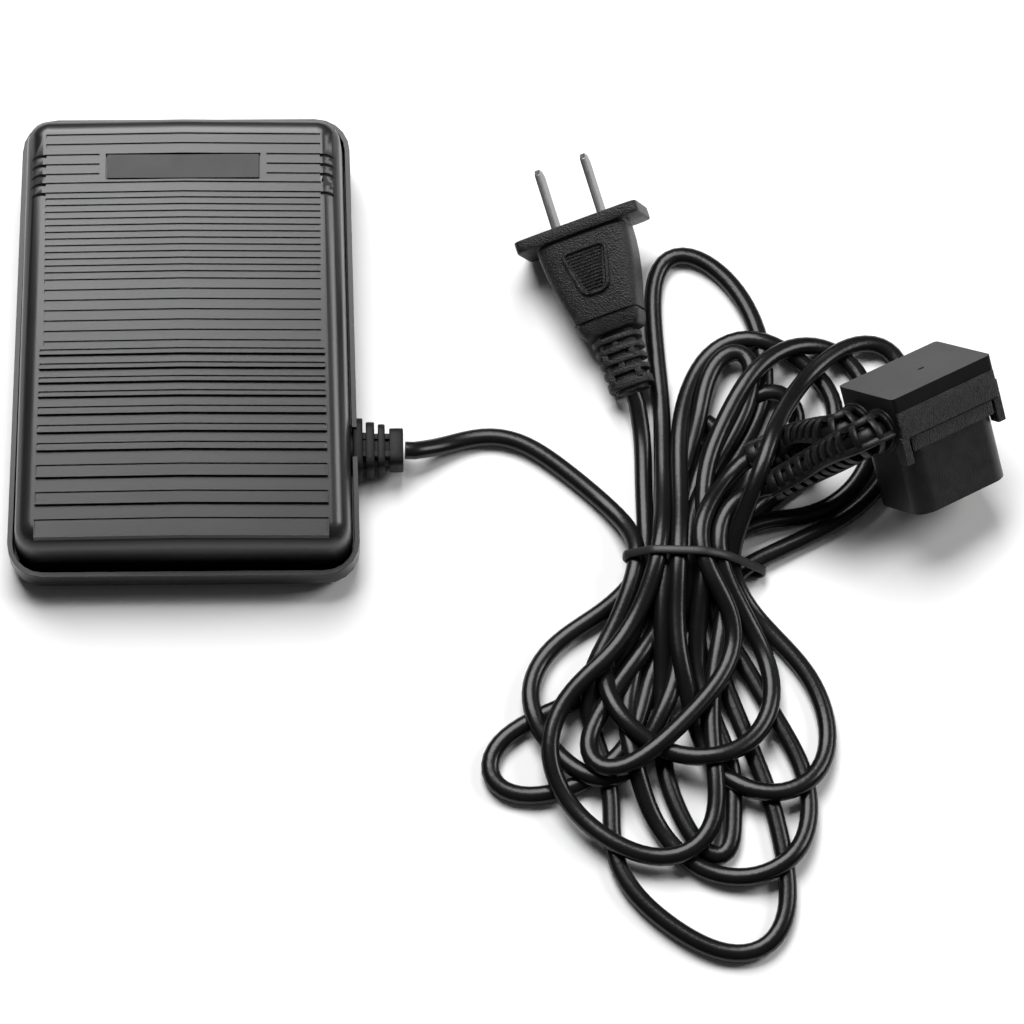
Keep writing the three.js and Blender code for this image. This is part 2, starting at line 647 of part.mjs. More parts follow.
const curve = (points) => new THREE.CatmullRomCurve3(points, false, "centripetal");
const route = (points) => curve(points.map(([x, y, z]) => V3(x, y, z)));
const lead = (points, steps) => tube(route(points), LEAD.width / 2, LEAD.height / 2, steps);

const pedalLead = [
  [reliefEnd + GAP, RELIEF.y, RELIEF.z], [59, RELIEF.y, 6.4], [62, -26.4, 5.4], [66, -24.7, 3.6],
  [71, -22.3, 2.6], [76, -21, 2.6], [82, -21.4, 2.6], [88, -24, 2.6],
  [96, -30.6, 2.8], [104, -37.6, 3], [110, -44, 3.6], [112.4, -47.4, 4.4],
];
const plugTail = plugEnd - PLUG.relief;
const behindPlug = (distance) => plug.localToWorld(V3(0, plugTail - distance, 0)).toArray();
const plugLead = [
  behindPlug(GAP), behindPlug(4), [117.6, -24.5, 3], [117.2, -32, 2.7], [117.2, -40, 2.8], [117.2, -46, 3.6],
];

// A cage leaves the block along its axis and bends down onto the bundle.
function cagePath(side, end) {
  const at = (out) => block.localToWorld(V3(-BLOCK.length / 2 - out, BLOCK.cageY, side * BLOCK.cageZ));
  return curve([at(GAP + 0.2), at(7), V3(...end.middle), V3(...end.tip)]);
}
const nearCage = cagePath(1, { middle: [160.5, -37.4, 21.5], tip: [149.6, -40.6, 13.4] });
const farCage = cagePath(-1, { middle: [155.5, -28.2, 13.6], tip: [144.6, -30.6, 8.4] });
const cageGeometry = (path) => tube(path, CAGE.across / 2, CAGE.across / 2, 8, 12);

// The outer shape of the tied bundle, drawn round its loops.
const lowerFan = [
  [116, -67.4], [104, -71], [92, -78], [83, -90], [74, -103], [73, -116], [82, -123], [93, -124], [103, -139],
  [113, -152], [127, -162], [142, -165], [152, -158], [155, -142], [160, -130], [165, -112], [164, -96],
  [155, -82], [146, -72], [138, -67.4],
];
const upperFan = [
  [121.4, -50], [122, -36], [121.8, -16], [121.4, 2], [122.4, 12], [124, 22], [126, 31], [136, 31], [150, 18],
  [154, 7], [168, 7], [181, 6], [189, 0], [190, -14], [186, -32], [176, -45], [160, -55], [148, -57],
  [141, -53],
  [138, -50],
];

function slab(points, height) {
  const corners = [...points, points[0]].map(([x, y]) => V2(x, y));
  const outline = new THREE.SplineCurve(corners).getPoints(2 * points.length).slice(0, -1);
  return new THREE.ExtrudeGeometry(new THREE.Shape(outline), { depth: height, bevelEnabled: false });
}

// The loops' upper half, hollowed where the cages, the block and the plug lie in it.
function upperHankGeometry() {
  const clear = 3 * GAP;
  const beads = [nearCage, farCage].flatMap((path) =>
    path.getSpacedPoints(12).map(({ x, y, z }) =>
      new THREE.SphereGeometry(CAGE.across / 2 + clear, 12, 8).translate(x, y, z),
    ),
  );
  const [long, high, deep] = [BLOCK.length, BLOCK.height, BLOCK.depth].map((size) => size + 2 * clear);
  const grown = new THREE.BoxGeometry(long, high, deep).applyMatrix4(block.matrixWorld);
  const body = new THREE.BoxGeometry(PLUG.flangeWidth + 2 * clear, 2 * PLUG.bodyLength, PLUG.flangeDepth + 2);
  body.translate(0, -PLUG.bodyLength + PLUG.flangeThick, 0).applyMatrix4(plug.matrixWorld);
  return cut(slab(upperFan, HANK.upper), ...beads, grown, body);
}

// A closed arch: flat underneath, with its two upper corners rounded.
function arch(grow) {
  const half = TIE.across / 2 + grow;
  const low = TIE.thick + GAP - grow;
  const high = TIE.thick + GAP + TIE.height + grow;
  const r = 5 + grow;
  const shape = new THREE.Shape();
  shape.moveTo(half, low);
  shape.absarc(half - r, high - r, r, 0, Math.PI / 2);
  shape.absarc(-half + r, high - r, r, Math.PI / 2, Math.PI);
  shape.lineTo(-half, low);
  return shape;
}

function archGeometry(grow, length) {
  const options = { depth: length, bevelEnabled: false, curveSegments: 6 };
  return new THREE.ExtrudeGeometry(arch(grow), options).translate(0, 0, -length / 2).rotateX(Math.PI / 2);
}

function tieGeometry() {
  const band = cut(archGeometry(GAP + TIE.thick, TIE.width), archGeometry(GAP, TIE.width + 2));
  return band.translate(TIE.x, TIE.y, 0);
}

const neckGeometry = () => archGeometry(0, HANK.neck).translate(TIE.x, TIE.y, 0);

// ---- assembly -----------------------------------------------------------------------------------

const finish = (color, roughness, metalness = 0) =>
  new THREE.MeshStandardMaterial({ color, roughness, metalness });
const shellBlack = finish(0x16171a, 0.32);
const mouldedBlack = finish(0x1b1b1c, 0.6);
const rubber = finish(0x161616, 0.85);
const leadBlack = finish(0x121213, 0.38);
const steel = finish(0xb9bcc0, 0.32, 1);
const nickel = finish(0xc9c6bd, 0.25, 1);
const brass = finish(0xb99a55, 0.35, 1);
const aluminium = finish(0x9da1a6, 0.45, 1);
const boardTan = finish(0x8a6a35, 0.6);
const filmYellow = finish(0xc2a43a, 0.45);
const copper = finish(0xa05a2c, 0.35, 1);
const phenolic = finish(0x26282b, 0.5);
const whiteNylon = finish(0xdedcd4, 0.5);

const pedal = new THREE.Group();

function put(parent, name, geometry, material) {
  const mesh = new THREE.Mesh(geometry, material);
  mesh.name = name;
  parent.add(mesh);
}

const sides = [[-1, "left"], [1, "right"]];

put(pedal, "base_tray", trayGeometry(), shellBlack);
feet.forEach((place, i) => put(pedal, `rubber_foot_${i + 1}`, footGeometry(place), rubber));
put(pedal, "cover_shell", coverGeometry(), shellBlack);
put(pedal, "badge_plate", badgeGeometry(), mouldedBlack);
put(pedal, "stop_bumper", bumperGeometry(), rubber);
put(pedal, "hinge_pin", rodX(HINGE.pin / 2, pinLength, 0, hingeY, HINGE.z), steel);
for (const [side, name] of sides) {
  const screw = screwGeometry(side * bracketX, bracketScrewY, floorTop + 1.2 + 2 * GAP, 3);
  put(pedal, `hinge_bracket_${name}`, bracketGeometry(side), steel);
  put(pedal, `bracket_screw_${name}`, screw, steel);
  put(pedal, `return_spring_${name}`, springGeometry(side), steel);
}

put(pedal, "circuit_board", boardGeometry(), boardTan);
boardCorners.forEach(([x, y], i) =>
  put(pedal, `board_screw_${i + 1}`, screwGeometry(x, y, onBoard, BOARD.screw), steel),
);
put(pedal, "slide_potentiometer", potGeometry(), phenolic);
put(pedal, "plunger", plungerGeometry(), whiteNylon);
put(pedal, "heat_sink", heatSinkGeometry(), aluminium);
put(pedal, "triac", triacGeometry(), phenolic);
put(pedal, "choke_coil", chokeGeometry(), copper);
put(pedal, "suppressor_capacitor", capacitorGeometry(), filmYellow);
put(pedal, "terminal_block", terminalGeometry(), whiteNylon);

put(pedal, "pedal_strain_relief", reliefGeometry(), rubber);
put(pedal, "lead_tail", tailGeometry(), leadBlack);
put(pedal, "cord_clamp", clampGeometry(), mouldedBlack);
clampScrews.forEach(([x, y], i) =>
  put(pedal, `clamp_screw_${i + 1}`, screwGeometry(x, y, clampTop + GAP, clampTop - floorTop - 0.6), steel),
);

put(plug, "plug_body", plugBody(), mouldedBlack);
for (const [side, name] of sides) put(plug, `plug_blade_${name}`, bladeGeometry(side), nickel);

put(block, "connector_cap", capGeometry(), mouldedBlack);
put(block, "connector_socket", socketGeometry(), mouldedBlack);
[-1, 0, 1].forEach((k, i) => put(block, `socket_contact_${i + 1}`, contactGeometry(k), brass));

const leads = new THREE.Group();
put(leads, "connector_relief_near", cageGeometry(nearCage), rubber);
put(leads, "connector_relief_far", cageGeometry(farCage), rubber);
put(leads, "pedal_lead", lead(pedalLead, 30), leadBlack);
put(leads, "plug_lead", lead(plugLead, 16), leadBlack);
put(leads, "hank_lower", slab(lowerFan, HANK.lower), leadBlack);
put(leads, "hank_neck", neckGeometry(), leadBlack);
put(leads, "hank_upper", upperHankGeometry(), leadBlack);
put(leads, "cord_tie", tieGeometry(), rubber);

const footControl = new THREE.Group();
footControl.add(pedal, plug, block, leads);

export default footControl;
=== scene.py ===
import json
import math

import bpy
import numpy as np
from mathutils import Euler, Matrix, Vector

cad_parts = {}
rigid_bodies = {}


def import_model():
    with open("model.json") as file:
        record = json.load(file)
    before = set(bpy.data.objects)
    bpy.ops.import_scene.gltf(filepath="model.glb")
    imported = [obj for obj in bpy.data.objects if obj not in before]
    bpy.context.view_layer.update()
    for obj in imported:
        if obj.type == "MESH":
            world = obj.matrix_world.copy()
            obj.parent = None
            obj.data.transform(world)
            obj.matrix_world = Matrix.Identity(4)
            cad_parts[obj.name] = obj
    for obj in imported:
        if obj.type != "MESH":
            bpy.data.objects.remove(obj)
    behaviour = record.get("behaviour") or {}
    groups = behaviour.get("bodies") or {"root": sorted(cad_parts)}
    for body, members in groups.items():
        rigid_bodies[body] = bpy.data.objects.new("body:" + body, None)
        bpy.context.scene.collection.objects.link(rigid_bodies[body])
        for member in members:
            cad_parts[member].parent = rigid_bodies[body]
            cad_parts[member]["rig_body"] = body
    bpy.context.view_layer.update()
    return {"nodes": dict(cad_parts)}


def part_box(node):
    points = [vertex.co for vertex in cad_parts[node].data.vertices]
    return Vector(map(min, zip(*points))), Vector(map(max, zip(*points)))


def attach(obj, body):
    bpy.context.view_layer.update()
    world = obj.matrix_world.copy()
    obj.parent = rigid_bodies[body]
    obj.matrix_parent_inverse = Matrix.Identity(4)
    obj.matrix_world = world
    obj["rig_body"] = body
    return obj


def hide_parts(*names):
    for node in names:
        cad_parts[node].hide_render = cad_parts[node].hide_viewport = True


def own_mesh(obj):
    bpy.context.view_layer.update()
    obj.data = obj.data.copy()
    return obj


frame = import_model()
nodes = frame["nodes"]
MM = 0.001

# ---- Camera -----------------------------------------------------------------------------------------
# The whole set is seen from well above the pedal's heel, turned a little and held slightly askew.
CAMERA_ELEVATION, CAMERA_TURN, CAMERA_ROLL = math.radians(68), math.radians(4.994), math.radians(4.18)
CAMERA_DISTANCE, CAMERA_LENS = 1.1, 150.8
AIM = Vector((0.08345, -0.04161, 0))

camera_data = bpy.data.cameras.new("camera")
camera_data.lens = CAMERA_LENS
camera_data.sensor_width = 36
camera_data.clip_start = 0.05
camera = bpy.data.objects.new("camera", camera_data)
bpy.context.scene.collection.objects.link(camera)
facing = Vector((
    math.sin(CAMERA_TURN) * math.cos(CAMERA_ELEVATION),
    math.cos(CAMERA_TURN) * math.cos(CAMERA_ELEVATION),
    -math.sin(CAMERA_ELEVATION),
))
level = Vector((math.cos(CAMERA_TURN), -math.sin(CAMERA_TURN), 0))
upright = level.cross(facing)
right = level * math.cos(CAMERA_ROLL) + upright * math.sin(CAMERA_ROLL)
up = upright * math.cos(CAMERA_ROLL) - level * math.sin(CAMERA_ROLL)
camera.matrix_world = Matrix.Translation(AIM - facing * CAMERA_DISTANCE) @ Matrix(
    (right, up, -facing)).transposed().to_4x4()
bpy.context.scene.camera = camera

# ---- Cords ------------------------------------------------------------------------------------------
# Two flat oval twin-core leads in black PVC, tied together in a hank: one from the pedal and one from
# the plug, both to the block connector. Each is laid along listed points, then let settle under
# its own weight, stiff and of fixed length, with every turn resting on the floor or on another turn.
LEAD_WIDTH, LEAD_HEIGHT = 4.6, 3.7  # the next values of this section are in millimetres
SEEN, HIDDEN, HELD = 0.2, 0.012, 1.0  # how firmly a stretch keeps to its points

pedal_lead_route = [
    (HELD, [(56.15, -27, 6.6), (59, -27, 6.4)]),
    (SEEN, [(62, -26.4, 5.4), (66, -24.7, 3.6), (71, -22.3, 2.6), (76, -21, 2.6), (82, -21.4, 2.6),
            (88, -24, 2.6), (96, -30.6, 2.8), (104, -37.6, 3), (110, -44, 3.6), (112.4, -47.4, 4.4),
            (115.6, -53, 7.5)]),
    (HELD, [(115.4, -58, 8.8)]),
    (SEEN, [(112, -67, 8.6), (108, -78, 6.5)]),
    (HIDDEN, [(104.8, -90, 4), (104.6, -100, 2.5), (106, -110, 2.2)]),
    (SEEN, [(108, -117, 2.2), (106, -126, 2.2), (107, -136, 2.2), (111, -144, 2.2),
            (117, -150, 2.2), (128, -158, 2.2), (137, -161, 2.2), (145, -159, 2.2),
            (149, -152, 2.2), (150, -143, 2.2), (149, -134, 2.2), (147, -122, 2.2),
            (146, -118, 2.2), (143, -110, 2.2), (141, -104, 2.2), (139, -98, 2.2),
            (137, -93, 2.2)]),
    (HIDDEN, [(134.5, -82, 2.5), (133.6, -70, 3.8)]),
    (HELD, [(134.6, -58, 5.5)]),
    (SEEN, [(144, -46, 4.5), (151, -46, 4), (161, -45, 4), (169, -39, 3), (174, -34, 3),
            (177, -26, 3)]),
    (HIDDEN, [(177.5, -16, 3.5)]),
    (SEEN, [(175, -7, 6), (172, -2, 7), (169, 0, 7), (166, 2, 7), (161, 2, 7), (154, 1, 7),
            (147, -5, 7), (142, -13, 7), (135, -27, 7)]),
    (HIDDEN, [(132, -42, 8)]),
    (HELD, [(131.8, -58, 9)]),
    (HIDDEN, [(131.4, -70, 7.5), (131, -85, 4.5), (131.5, -100, 2.6), (134, -112, 2.2)]),
    (SEEN, [(136, -124, 2.2), (137, -133, 2.2), (133.5, -138, 2.2), (128.5, -134, 2.2),
            (124, -124, 2.2), (120, -114, 2.2)]),
    (HIDDEN, [(118.6, -100, 2.4), (119.6, -85, 4.5), (121.5, -70, 7.5)]),
    (HELD, [(121.6, -58, 9)]),
    (HIDDEN, [(126, -42, 8.5)]),
    (SEEN, [(132, -20, 8), (133.5, -11, 8), (136, -4, 8), (139.5, 1, 8), (144, 2, 8),
            (147, -1.5, 7), (146.5, -8, 6)]),
    (HIDDEN, [(141, -16, 5), (136, -30, 5), (131, -44, 7)]),
    (HELD, [(127.3, -58, 9)]),
    (HIDDEN, [(126, -70, 5.5), (121, -85, 3), (113, -100, 2.3), (106, -111, 2.2)]),
    (SEEN, [(100, -116, 2.2), (94, -118, 2.2), (87, -119, 2.2), (81, -119, 2.2), (76, -116, 2.2),
            (75.5, -109, 2.2), (80, -103, 2.2), (86, -100, 2.2), (92, -96, 2.2), (98, -95, 2.2),
            (104, -91, 2.2)]),
    (HIDDEN, [(109, -86, 2.4), (114, -76, 3), (118, -67, 4.5)]),
    (HELD, [(121.6, -58, 5.5)]),
    (HIDDEN, [(121.4, -46, 3.5), (122, -34, 2.2), (123.5, -23, 2.2), (128, -16, 2.2),
              (134, -16, 2.2), (138, -23, 2.2), (136.5, -35, 2.2), (128, -48, 2)]),
    (HELD, [(118.4, -58, 2)]),
    (HIDDEN, [(113, -68, 2.5), (108.5, -78, 4)]),
    (SEEN, [(105, -90, 8), (106, -95, 9), (108, -100, 9), (112, -104, 9), (116, -108, 9),
            (123, -111, 9), (131, -112, 9), (137, -111, 9), (144, -106, 9), (147, -100, 9),
            (148, -94, 8), (147, -85, 8), (143, -77, 9), (139.5, -70, 10)]),
    (HELD, [(134.2, -58, 12)]),
    (SEEN, [(135.2, -50, 12.6), (138, -45, 13)]),
    (HELD, [(143, -42, 13.3), (148.9, -40.9, 13.4)]),
]
plug_lead_route = [
    (HELD, [(115.4, -11.25, 4.94), (116.41, -14.68, 4.23)]),
    (SEEN, [(117.6, -24.5, 3), (117.2, -32, 2.7), (117.2, -40, 2.8), (117.6, -48, 3.8)]),
    (HELD, [(117.4, -58, 5.6)]),
    (SEEN, [(111.4, -67, 5.6), (105, -72, 5), (98, -76, 5), (90, -83, 5), (86, -92, 5),
            (87, -98, 5), (91, -107, 5), (95, -110, 5), (100, -115, 5), (105, -117, 5)]),
    (HIDDEN, [(112, -113, 4), (117, -103, 3), (120, -90, 3), (123, -75, 4.5)]),
    (HELD, [(125.8, -58, 5.5)]),
    (HIDDEN, [(129, -45, 5), (134, -33, 4.5), (139, -22, 4.5)]),
    (SEEN, [(143, -14, 5), (151, -9, 5), (156, -11, 5)]),
    (HIDDEN, [(158.5, -18, 4), (155, -28, 3), (146, -39, 2.5), (134, -49, 2)]),
    (HELD, [(123.2, -58, 2)]),
    (HIDDEN, [(119.5, -68, 2.2), (116, -80, 2.2), (113.5, -95, 2.5), (113, -107, 3.5)]),
    (SEEN, [(114, -117, 5), (116, -125, 5), (120, -132, 5), (126, -138, 5), (133, -141, 5),
            (142, -142, 5), (150, -138, 5), (154, -134, 5), (156, -127, 5), (156, -116, 5),
            (153, -109, 5), (150, -103, 5), (147, -97, 5), (144, -91, 5), (141, -85, 5)]),
    (HIDDEN, [(136, -77, 4.5), (131.5, -68, 5)]),
    (HELD, [(130.2, -58, 5.5)]),
    (HIDDEN, [(134, -42, 3.5)]),
    (SEEN, [(139, -31, 2.4), (143, -26, 2.2), (146, -20, 2.2), (149, -13, 2.2), (150, -3, 2.2),
            (149, 6, 2.2), (147, 12, 2.2), (144, 19, 2.2), (138, 26, 2.2), (131, 30.4, 2.2),
            (127, 31.6, 2.2), (123.4, 28, 2.2), (121.6, 21, 2.2), (121.4, 11, 2.2), (122, -3, 2.2),
            (123, -20, 2.6), (122.6, -34, 5), (121.4, -48, 10)]),
    (HELD, [(120.3, -58, 12.6)]),
    (SEEN, [(116.4, -69, 11), (110, -81, 10), (104, -87, 9.5), (97, -93, 9), (94, -98, 8),
            (91, -105, 8), (91, -111, 8), (93, -118, 8), (96, -124, 8), (102, -130, 8),
            (111, -136, 8), (121, -138, 8), (128, -135, 8), (132, -128, 8), (133.4, -119, 7),
            (132.6, -110, 6), (132, -102, 5.5)]),
    (HIDDEN, [(133, -90, 5.5), (136.4, -76, 5)]),
    (HELD, [(139.2, -60.5, 4.8)]),
    (SEEN, [(147, -57, 3), (156, -51, 2.4), (166, -47, 2.4), (171, -43, 2.4), (179, -36, 2.6),
            (182, -29, 3)]),
    (HIDDEN, [(185, -17, 6)]),
    (SEEN, [(186, -4, 9), (184, -1, 9), (181, 2, 9), (176, 2, 9), (169, -1, 10), (162, -6, 10),
            (157, -13, 11), (153, -20, 14), (150, -29, 18), (147.5, -36, 20), (144, -44, 17),
            (140.4, -52, 12)]),
    (HELD, [(137.4, -58.5, 8.4)]),
    (SEEN, [(138.8, -66, 8), (143, -72, 7), (148, -77, 5), (152, -82, 5), (157, -87, 5),
            (160, -95, 5), (162, -103, 5), (161, -111, 5), (157, -117, 5), (151, -120, 5),
            (144, -120, 5), (139, -118, 4), (136, -116, 4)]),
    (HIDDEN, [(131, -109, 4), (127, -98, 5)]),
    (SEEN, [(124, -84, 8), (124.2, -70, 11.5)]),
    (HELD, [(125, -58, 12.9)]),
    (SEEN, [(125.8, -45, 10), (126.2, -33, 7), (127, -21, 5.5), (130, -9, 5), (134, -1, 5),
            (139, 3, 5), (145, 5, 5), (150, 4, 5), (156, 1, 4), (161, -3, 4), (165, -7, 3),
            (168, -12, 3)]),
    (HIDDEN, [(169, -19, 2.6), (165, -26, 2.4), (157, -33, 2.2), (147, -41, 2.2), (137, -50, 2)]),
    (HELD, [(128.2, -58, 2)]),
    (HIDDEN, [(123, -68, 2.2), (116.5, -79, 3), (110.5, -88, 4.5)]),
    (SEEN, [(106, -94, 5.5), (104, -98, 6), (101, -104, 7), (100, -111, 8), (102, -115, 9),
            (106, -116, 9.5), (113, -113, 11), (121, -107, 12.5), (129, -99, 13), (135, -92, 13),
            (138, -85, 13), (139, -79, 13), (137, -71.5, 13), (134, -65, 13)]),
    (HELD, [(129.7, -57, 13)]),
    (SEEN, [(130.4, -51, 12.4), (133, -44, 11), (137.4, -37.5, 9.4)]),
    (HELD, [(141, -33.4, 8.6), (143.9, -31.1, 8.4)]),
]
STEP = 2.4  # between the points of a settling lead
PARTS_OF_KNOT = 24  # points drawn between two chosen ones before they are spaced evenly
FLOOR_REST = LEAD_HEIGHT / 2 + 0.05
FLATTEN = LEAD_WIDTH / LEAD_HEIGHT
TOUCH = LEAD_WIDTH * 0.98
SETTLE_ROUNDS = 420
FALL = 0.05  # how far a lead sinks in one round
LONGEST_PUSH = 0.6  # how far a solid moves a lead in one round
BENDS = [(1, 0.055), (3, 0.012)]  # how stiff a lead is, over one step and over three
LEAN = np.array((0.036, 0.402))  # a turn that settles lower keeps its place as seen from the heel side
# solids that the leads rest against: a middle, a turn about X, Y and Z, and half sizes
OBSTACLES = [
    ((189, -28.4, 20.8), (41, 12, 30), (15.7, 16.5, 12)),
    ((107, 17.3, 10.9), (12, -20, 12.5), (13, 14, 7)),
]
# the middle lines of the connector's two caged reliefs, and their radius at the block and at the tip
CAGES = [
    [(172.6, -36.5, 32.5), (166.4, -37.8, 27), (160.5, -37.4, 21.5), (154.6, -39, 16.8),
     (149.6, -40.6, 13.4)],
    [(167.7, -31.3, 24.7), (161.5, -30.2, 18.6), (155.5, -28.2, 13.6), (149.6, -29.4, 10.4),
     (144.6, -30.6, 8.4)],
]
CAGE_WIDE, CAGE_NARROW, CAGE_PARTS = 4.6, 3.6, 33


def smooth_route(route):
    """Evenly spaced points on a Catmull-Rom curve through a route, with each point's firmness."""
    firm = np.array([firmness for firmness, points in route for _ in points])
    knots = np.array([point for _, points in route for point in points], float)
    ends = np.vstack((2 * knots[0] - knots[1], knots, 2 * knots[-1] - knots[-2]))
    fine, weight = [], []
    for i in range(len(knots) - 1):
        a, b, c, d = ends[i:i + 4]
        for t in np.linspace(0, 1, PARTS_OF_KNOT, endpoint=False):
            fine.append(0.5 * (2 * b + (c - a) * t + (2 * a - 5 * b + 4 * c - d) * t * t
                               + (3 * b - a - 3 * c + d) * t ** 3))
            near = firm[i] if t < 0.5 else firm[i + 1]
            weight.append(near if near < HELD or min(t, 1 - t) < 0.2 else SEEN)
    fine = np.vstack((fine, knots[-1]))
    along = np.concatenate(([0], np.cumsum(np.linalg.norm(np.diff(fine, axis=0), axis=1))))
    count = int(round(along[-1] / STEP)) + 1
    wanted = np.linspace(0, along[-1], count)
    points = np.column_stack([np.interp(wanted, along, fine[:, k]) for k in range(3)])
    firmness = np.interp(wanted, along, weight + [HELD])
    return points, firmness


def push_out_of_boxes(points):
    """Moves the points that a solid holds to its nearest face."""
    for middle, turns, half in OBSTACLES:
        turn = np.array(Euler([math.radians(t) for t in turns], "XYZ").to_matrix())
        local = (points - middle) @ turn
        room = np.array(half) + LEAD_HEIGHT / 2 + 0.2
        depth = room - np.abs(local)
        inside = np.all(depth > 0, axis=1)
        for i in np.nonzero(inside)[0]:
            axis = int(np.argmin(depth[i]))
            local[i, axis] += math.copysign(min(depth[i, axis], LONGEST_PUSH), local[i, axis])
            points[i] = turn @ local[i] + middle


def push_off_cages(points):
    """Moves the points that a cage holds straight out from its middle line."""
    for line in CAGES:
        spine = np.array(line, float)
        wanted = np.linspace(0, len(line) - 1, CAGE_PARTS)
        fine = np.column_stack([np.interp(wanted, range(len(line)), spine[:, k]) for k in range(3)])
        radius = np.linspace(CAGE_WIDE, CAGE_NARROW, CAGE_PARTS)
        gap = points[:, None, :] - fine[None, :, :]
        far = np.linalg.norm(gap, axis=2)
        near = np.argmin(far - radius, axis=1)
        distance = far[np.arange(len(points)), near]
        short = radius[near] + LEAD_HEIGHT / 2 + 0.1 - distance
        hit = (short > 0) & (distance > 1e-6)
        outward = gap[np.arange(len(points)), near] / distance[:, None]
        points[hit] += (outward * np.minimum(short, LONGEST_PUSH)[:, None])[hit]


def settle(routes):
    """Lets the leads fall and slide until they lie on the floor and on each other."""
    laid = [smooth_route(route) for route in routes]
    sizes = [len(points) for points, _ in laid]
    home = np.vstack([points for points, _ in laid])
    firm = np.concatenate([firmness for _, firmness in laid])
    points = home.copy()
    lead = np.repeat(range(len(laid)), sizes)
    order = np.arange(len(points))
    held = firm >= HELD * 0.7
    tips = np.zeros(len(points), bool)
    start = 0
    for size in sizes:
        tips[[start, start + 1, start + size - 2, start + size - 1]] = True
        start += size
    joined = lead[:-1] == lead[1:]
    pairs = None
    for turn in range(SETTLE_ROUNDS):
        points[:, 2] -= FALL
        drop = home[:, 2] - points[:, 2]
        target = home[:, :2] + drop[:, None] * LEAN
        pull = np.where(held, 0.35, firm)[:, None]
        points[:, :2] += (target - points[:, :2]) * pull
        points[:, 2] += (home[:, 2] - points[:, 2]) * np.where(held, 0.3, 0)
        for _ in range(3):
            for reach, stiffness in BENDS:
                a, b, c, d, e = (points[i * reach:len(points) - (4 - i) * reach] for i in range(5))
                same = lead[:-4 * reach] == lead[4 * reach:]
                c[same] -= (stiffness * (a - 4 * b + 6 * c - 4 * d + e))[same]
        if turn % 8 == 0:
            scaled = points * (1, 1, FLATTEN)
            square = np.sum(scaled ** 2, axis=1)
            far = square[:, None] + square[None, :] - 2 * scaled @ scaled.T
            close = far < (TOUCH + 2.5) ** 2
            apart = (np.abs(order[:, None] - order[None, :]) > 4) | (lead[:, None] != lead[None, :])
            pairs = np.nonzero(close & apart & (order[:, None] < order[None, :]))
        a, b = pairs
        for _ in range(2):
            gap = (points[a] - points[b]) * (1, 1, FLATTEN)
            distance = np.linalg.norm(gap, axis=1)
            short = TOUCH - distance
            hit = short > 0
            push = gap[hit] / np.maximum(distance[hit], 1e-6)[:, None] * (0.3 * short[hit])[:, None]
            push[:, 2] /= FLATTEN
            count = np.bincount(a[hit], minlength=len(points))
            count = count + np.bincount(b[hit], minlength=len(points))
            shift = np.zeros_like(points)
            np.add.at(shift, a[hit], push)
            np.add.at(shift, b[hit], -push)
            points += shift / np.maximum(count, 1)[:, None] * 1.6
        push_off_cages(points)
        push_out_of_boxes(points)
        for parity in (0, 1, 0, 1):
            i = np.nonzero(joined)[0]
            i = i[i % 2 == parity]
            along = points[i + 1] - points[i]
            length = np.linalg.norm(along, axis=1)
            fix = along * ((length - STEP) / np.maximum(length, 1e-6) * 0.5)[:, None]
            points[i] += fix
            points[i + 1] -= fix
        points[:, 2] = np.maximum(points[:, 2], FLOOR_REST)
        points[tips] = home[tips]
    return np.split(points, np.cumsum(sizes)[:-1])


def frames(points, closed=False):
    """The direction of a path at each point, with a level side and an upper side square to it."""
    if closed:
        along = np.roll(points, -1, 0) - np.roll(points, 1, 0)
    else:
        along = np.gradient(points, axis=0)
    along /= np.linalg.norm(along, axis=1)[:, None]
    side = np.cross(along, (0, 0, 1.0))
    levelness = np.linalg.norm(side, axis=1)
    if levelness[0] < 1e-6:
        side[0] = (1, 0, 0)
    side[0] /= np.linalg.norm(side[0])
    for i in range(1, len(points)):
        carried = side[i - 1] - along[i] * (side[i - 1] @ along[i])
        wanted = side[i] if side[i] @ carried > 0 else -side[i]
        side[i] = carried + (wanted - carried * levelness[i]) * 0.3
        side[i] -= along[i] * (side[i] @ along[i])
        side[i] /= np.linalg.norm(side[i])
    return along, side, np.cross(side, along)


def sweep(points, wide, high, sides=16, closed=False, fullness=2.3):
    """Corners and faces of a rounded bar along points in millimetres, with closed ends."""
    points = np.asarray(points, float)
    _, side, top = frames(points, closed)
    count = len(points)
    angle = np.arange(sides) * 2 * math.pi / sides
    across = np.sign(np.cos(angle)) * np.abs(np.cos(angle)) ** (2 / fullness)
    upward = np.sign(np.sin(angle)) * np.abs(np.sin(angle)) ** (2 / fullness)
    wide = np.broadcast_to(wide, (count,))[:, None, None] / 2
    high = np.broadcast_to(high, (count,))[:, None, None] / 2
    rings = points[:, None] + side[:, None] * across[:, None] * wide
    rings = rings + top[:, None] * upward[:, None] * high
    faces = []
    for i in range(count if closed else count - 1):
        near, far = i * sides, (i + 1) % count * sides
        for k in range(sides):
            after = (k + 1) % sides
            faces.append((near + k, far + k, far + after, near + after))
    if not closed:
        faces.append(tuple(range(sides)))
        faces.append(tuple(reversed(range((count - 1) * sides, count * sides))))
    return rings.reshape(-1, 3), faces


